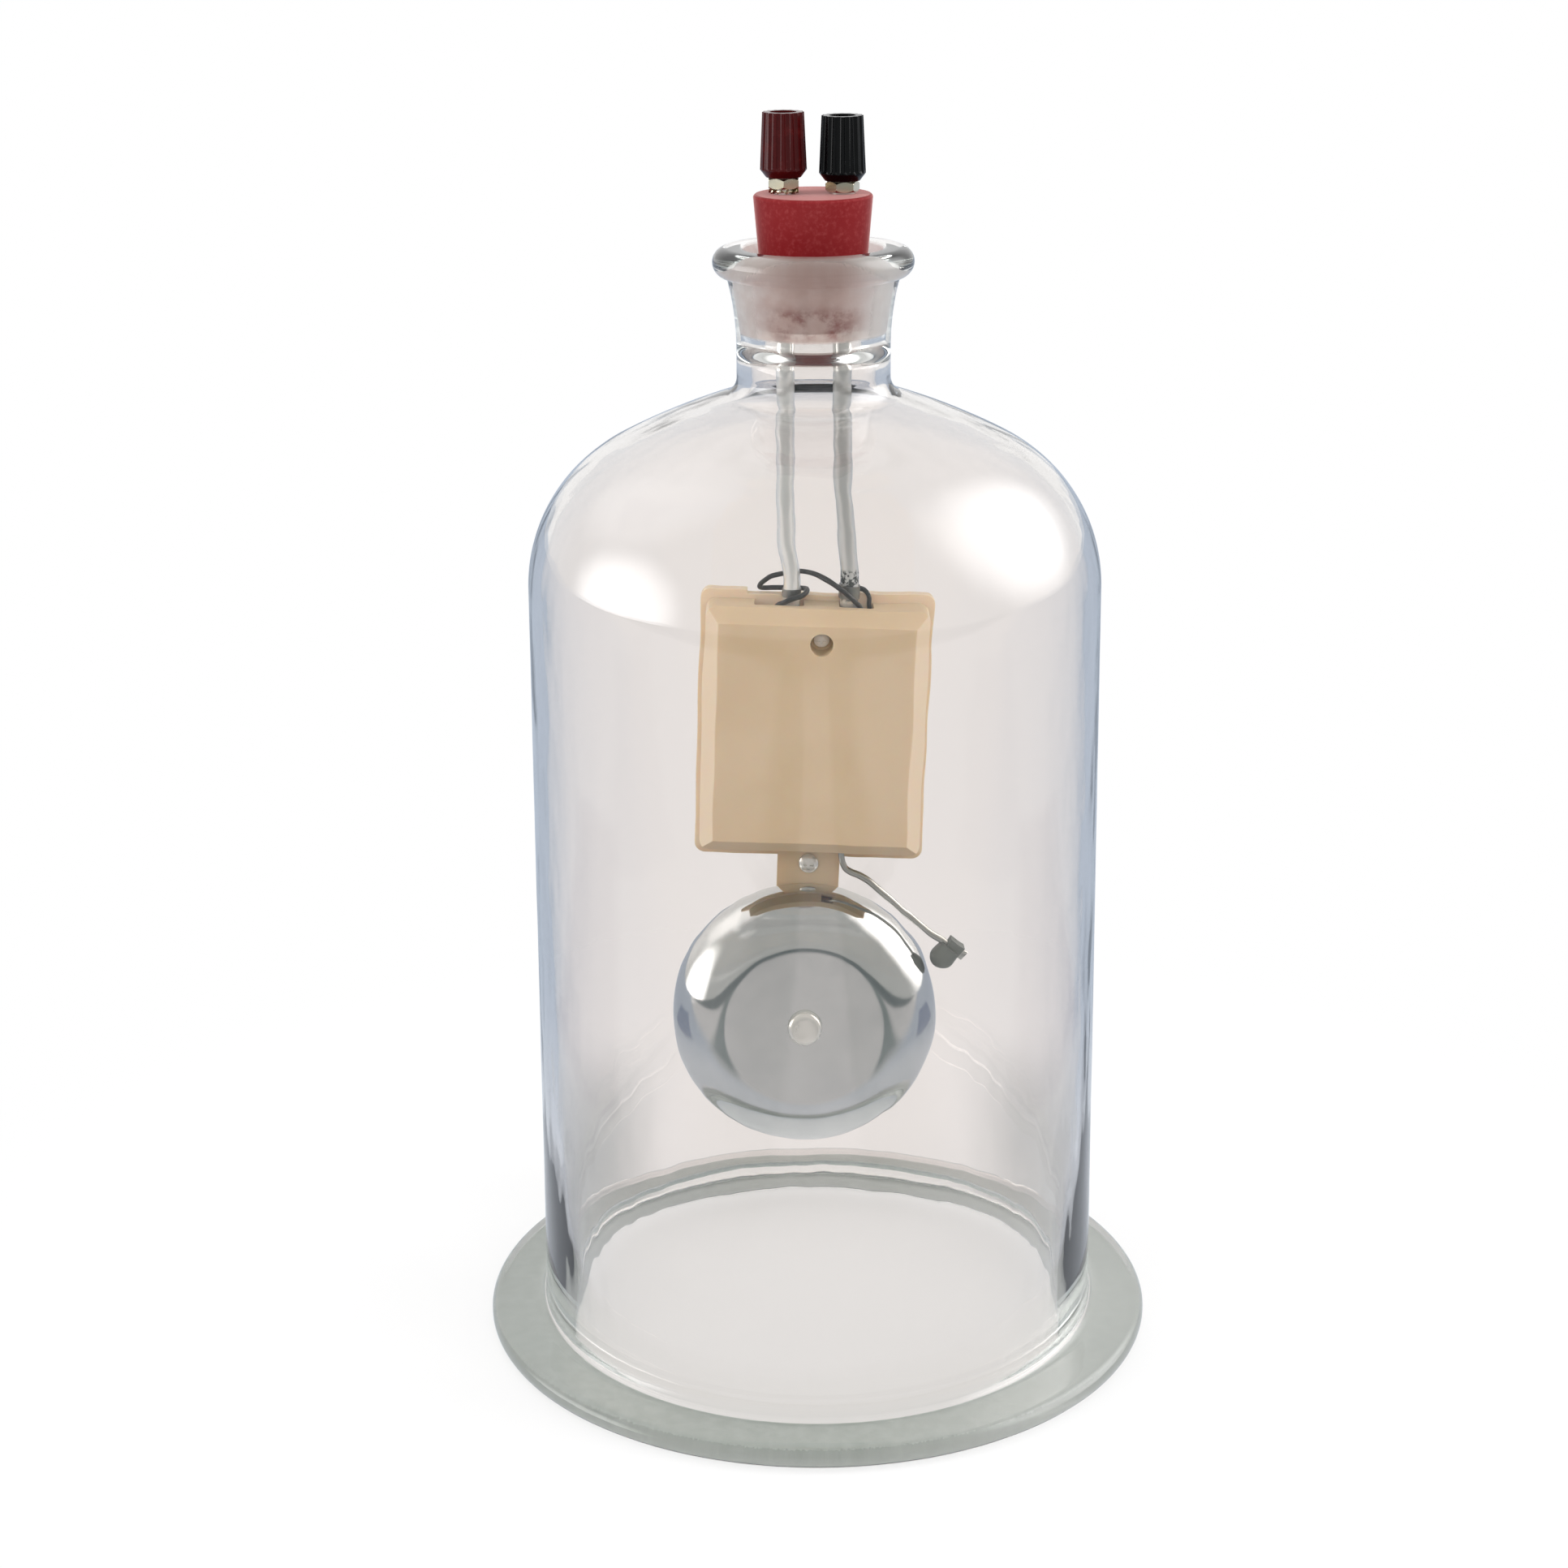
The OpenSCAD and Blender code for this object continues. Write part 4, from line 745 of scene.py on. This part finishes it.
# %% Leads
lead_cover, place, shader = finish("lead_cover", roughness=0.38)
feed(shader, base_color=place.noise(0.003).between(0.3, 0.8).mix(rgb(16, 17, 18), rgb(42, 44, 46)))
lead_r = 0.75
routes = {
    "left_lead": [(-13, -4.6, 1.5), (-14, -4.4, 6), (-15.4, -3.6, 14), (-15.2, -2.6, 24),
                  (-13.2, -1.8, 31), (-11.6, -2.4, 35.4), (-9.6, -3.8, 37), (-6.8, -4.3, 38.4),
                  (-4.5, -3.4, 39), (-3.3, -1.2, 39.6), (-3.3, 1.2, 39.8), (-4.8, 3, 39.6),
                  (-7.1, 3.54, 39.4)],
    "right_lead": [(10, 3.35, 40.6), (12.6, 2.4, 40.1), (14.2, 0.8, 38.6), (14.3, 0.6, 35.6),
                   (15.6, 0.8, 31), (18.8, 0.6, 22), (21.4, -1.2, 10), (19.2, -3.6, 3),
                   (18.3, -4.6, 0.2), (18.3, -4.6, -1.95)],
    "long_lead": [(-7.6, 3.54, 39.4), (-9.8, 4.3, 39.4), (-12.6, 5, 39.2), (-15.2, 5.4, 39),
                  (-16.7, 4.9, 39.4), (-16.4, 4.2, 40.6), (-15.1, 4, 41.7), (-12.9, 4, 43),
                  (-8, 4, 44.2), (-4.8, 3.4, 44.6), (-0.6, 0.6, 44.3), (2.9, -2.4, 43),
                  (6.1, -4, 41.3), (8.8, -4.1, 39), (11, -3.2, 36.8), (12.2, -2.9, 34.6),
                  (13.6, -2.6, 30), (20, -2.4, 22), (26, -2.4, 10), (27.3, -1.6, -6),
                  (26, 0.2, -22), (20, 1.4, -29.4), (10, 1.5, -30.4), (2, 0.4, -30),
                  (-1.4, -2.6, -28.4), (-2, -4.6, -26.2)]}
for node, points in routes.items():
    mesh = wire_mesh(node, points, lambda along_wire, out: out * lead_r)
    shown(node + "_wire", mesh, lead_cover, "hanging_bell", node, slot="lead_cover")
print(len(routes), "leads")

# %% Hammer wire, round for most of its length and hammered flat at its free end
wire_y = -4.6
wire_line = [(9.2, -24), (9.2, -30), (9.15, -34), (9.2, -36), (9.6, -38), (10.6, -39.8),
             (12.2, -40.8), (14.4, -41.7), (17, -43.2), (19.2, -45), (23.4, -48.6),
             (31.4, -55.4), (34, -57.4), (38, -60.1), (42, -62.9), (46, -65.6)]
flat_from, flat_over, wider, thinner = 0.95, 0.02, 0.45, 0.55


def hammered(along_wire, out):
    flat = min(1, max(0, (along_wire - flat_from) / flat_over))
    wide, thin = 1 + wider * flat, 1 - thinner * flat
    return Vector((out.x * wide, out.y * thin, out.z * wide))


mesh = wire_mesh("hammer_wire", [(x, wire_y, z) for x, z in wire_line], hammered)
shown("hammer_rod", mesh, steel, "hammer", "hammer_wire", slot="steel")
print("hammer wire drawn")

# %% [markdown]
# ## Coils and their wire
#
# The coils are hidden behind the cover, but they show when the cover is hidden in a viewer.
# Fine rings of copper come from a wave along the coil's axis, used as bump and as colour.

# %% Copper windings
copper, place, shader = finish("enamelled_copper", metallic=0.7, roughness=0.32)
rings = place.node("ShaderNodeTexWave", {"wave_type": "BANDS", "bands_direction": "X"},
                   {"Vector": place, "Scale": 700.0, "Distortion": 0.4}, "Fac")
feed(shader, base_color=rings.mix(rgb(120, 62, 34), rgb(196, 112, 66)),
     normal=rings.bump(0.0001, 0.6))
fibre, place, shader = finish("pressed_fibre", roughness=0.6)
feed(shader, base_color=place.noise(0.0015, 4.0).mix(rgb(92, 62, 40), rgb(122, 88, 60)))
dress(copper, "coil_windings", "coil_end_leads")
dress(fibre, "coil_bobbins")
print("coils dressed")

# %% [markdown]
# ## The floor
#
# The picture has a plain white ground. The floor is pale paper that keeps a soft shadow close to
# the jar and turns to pure white for the camera further out. It is one large square, a hair
# below the glass, so that the two faces don't fight for the same place.

# %% Lay the floor
half, just_below = 6, -0.0002
floor_mesh = bpy.data.meshes.new("floor")
floor_mesh.from_pydata([(x, y, just_below) for x, y in ((-half, -half), (half, -half),
                                                        (half, half), (-half, half))],
                       [], [(0, 1, 2, 3)])
floor = bpy.data.objects.new("floor", floor_mesh)
bpy.context.scene.collection.objects.link(floor)
paper, place, shader = finish("floor_paper", base_color=rgb(238, 237, 236), roughness=0.9)
floor_mesh.materials.append(paper)
sideways, along = place.part("X"), place.part("Y")
across = abs(sideways)
out_r = (across ** 2 + along ** 2) ** 0.5
print("floor laid,", 2 * half, "m wide")

# %% [markdown]
# ## What rays find
#
# Clear glass and a bright gong show little of themselves and much of what stands round them. A
# photographer therefore sets up grey cards that only the glass and the metal see. Here floor
# and world answer each kind of ray in its own way. The camera finds white. A ray that bounced
# off glass or metal finds the cards. A ray that only went through glass finds something near
# white, or the jar would look grey all over.

# %% Kinds of rays
def ray_kinds(tree):
    rays = tree.nodes.new("ShaderNodeLightPath")
    camera, mirror, glass, diffuse, depth = (Value(tree, rays.outputs[name]) for name in (
        "Is Camera Ray", "Is Glossy Ray", "Is Transmission Ray", "Is Diffuse Ray", "Glossy Depth"))
    bounced = depth.maths("GREATER_THAN", depth, 0.5) * (1 - diffuse)
    return camera, mirror, glass, bounced


by_camera, by_mirror, by_glass, bounced = ray_kinds(paper.node_tree)
print("rays sorted")

# %% The floor in reflections: bluish in front, darker near the foot and far away, two cool cards
in_front, far_front = along.until(-0.30, -0.14), along.until(-0.95, -0.80)
near_foot = in_front * across.within(0.055, 0.085, 0.16, 0.24)
card = across.within(0.24, 0.26, 0.55, 0.6) * along.within(-0.07, -0.05, 0.14, 0.17)
mirrored = in_front.mix(rgb(190, 201, 216), rgb(222, 223, 225))
mirrored = near_foot.mix(mirrored, rgb(146, 156, 158))
mirrored = far_front.mix(mirrored, rgb(112, 122, 126))
mirrored = card.mix(mirrored, rgb(140, 152, 176))
print("cards laid on the floor")

# %% The floor through glass: white, with a painted shade patch on each side of the foot
# painted shade: a grey patch beside the foot, seen only through the glass, darker on the left
beside = across.between(0.05, 0.08) * out_r.within(0.072, 0.09, 0.18, 0.32)
beside = beside * along.within(-0.08, -0.03, 0.09, 0.22)
more_on_left = 0.95 - sideways.between(-0.02, 0.02) * 0.2
through = (beside * more_on_left * by_glass).mix(pure_white, rgb(136, 145, 145))
print("grey beside the foot")

# %% The floor for all rays: the further out, the less paper and shadow, the more plain white
in_jar = out_r.until(0.066, 0.08)
looked_at = by_camera.larger(by_glass.larger(by_mirror))
how_white = (0.62 - in_jar * 0.3 + out_r.between(0.1, 0.32) * 0.38) * looked_at
white = place.node("ShaderNodeEmission", (), {"Color": bounced.mix(through, mirrored)})
to_output(how_white.blend(Value(paper.node_tree, shader.outputs[0]), white))
print("floor painted")

# %% [markdown]
# ## The world
#
# The world is white for the camera. Reflections find a white backdrop behind the jar, a grey
# room in front of it and three soft glows: the lamps are hidden from reflections, and round
# glows look better on glass than their hard corners. Through glass the room is paler. All
# other rays, which light the object, find an even pale grey.

# %% World
world = bpy.data.worlds.new("studio")
bpy.context.scene.world = world
world.use_nodes = True
tree = world.node_tree
way = Value(tree, tree.nodes.new("ShaderNodeTexCoord").outputs["Generated"])
by_camera, _, by_glass, bounced = ray_kinds(tree)
backdrop = way.part("Y").between(0.25, 0.8)
glow = backdrop.mix(rgb(204, 208, 208), pure_white)
for spot, core, fade, strength in (((-0.985, -0.12, 0.05), 8, 35, 5.0),
                                   ((-0.62, 0.35, 0.70), 6, 34, 1.5),
                                   ((0.84, 0.20, 0.48), 9, 42, 4.5)):
    lit = way.towards(*spot).between(cos_deg(fade), cos_deg(core)) ** 1.7
    glow = lit.mix(glow, (strength, strength, strength, 1))
behind_glass = backdrop.mix(rgb(234, 237, 238), pure_white)
sky = by_glass.mix(rgb(222, 222, 224), behind_glass)
sky = bounced.mix(sky, glow)
sky = by_camera.mix(sky, pure_white)
tree.links.new(sky.socket, tree.nodes["Background"].inputs["Color"])
print("world ready")

# %% [markdown]
# ## Lamps
#
# Four large soft lamps light the bell evenly from the left, the right, above and the front, so
# that a colour renders about as it is written. Only surfaces that scatter light see them.

# %% Lamps
lamps = (("left_box", (-1.15, -0.45, 0.75), (0, 0, 0.18), (0.5, 0.8), 7.0),
         ("right_box", (1.1, -0.15, 0.85), (0, 0, 0.2), (0.5, 0.7), 7.0),
         ("top_box", (0.0, 0.1, 1.4), (0, 0, 0.15), (0.8, 0.6), 3.5),
         ("front_fill", (0.15, -1.5, 0.95), (0, 0, 0.2), (1.0, 0.8), 9.0))
for name, at, target, size, power in lamps:
    data = bpy.data.lights.new(name, "AREA")
    data.shape, data.size, data.size_y, data.energy = "RECTANGLE", size[0], size[1], power
    lamp = bpy.data.objects.new(name, data)
    lamp.location = at
    lamp.rotation_euler = (Vector(target) - Vector(at)).to_track_quat("-Z", "Y").to_euler()
    lamp.visible_glossy = lamp.visible_transmission = lamp.visible_camera = False
    bpy.context.scene.collection.objects.link(lamp)
print(len(lamps), "lamps")
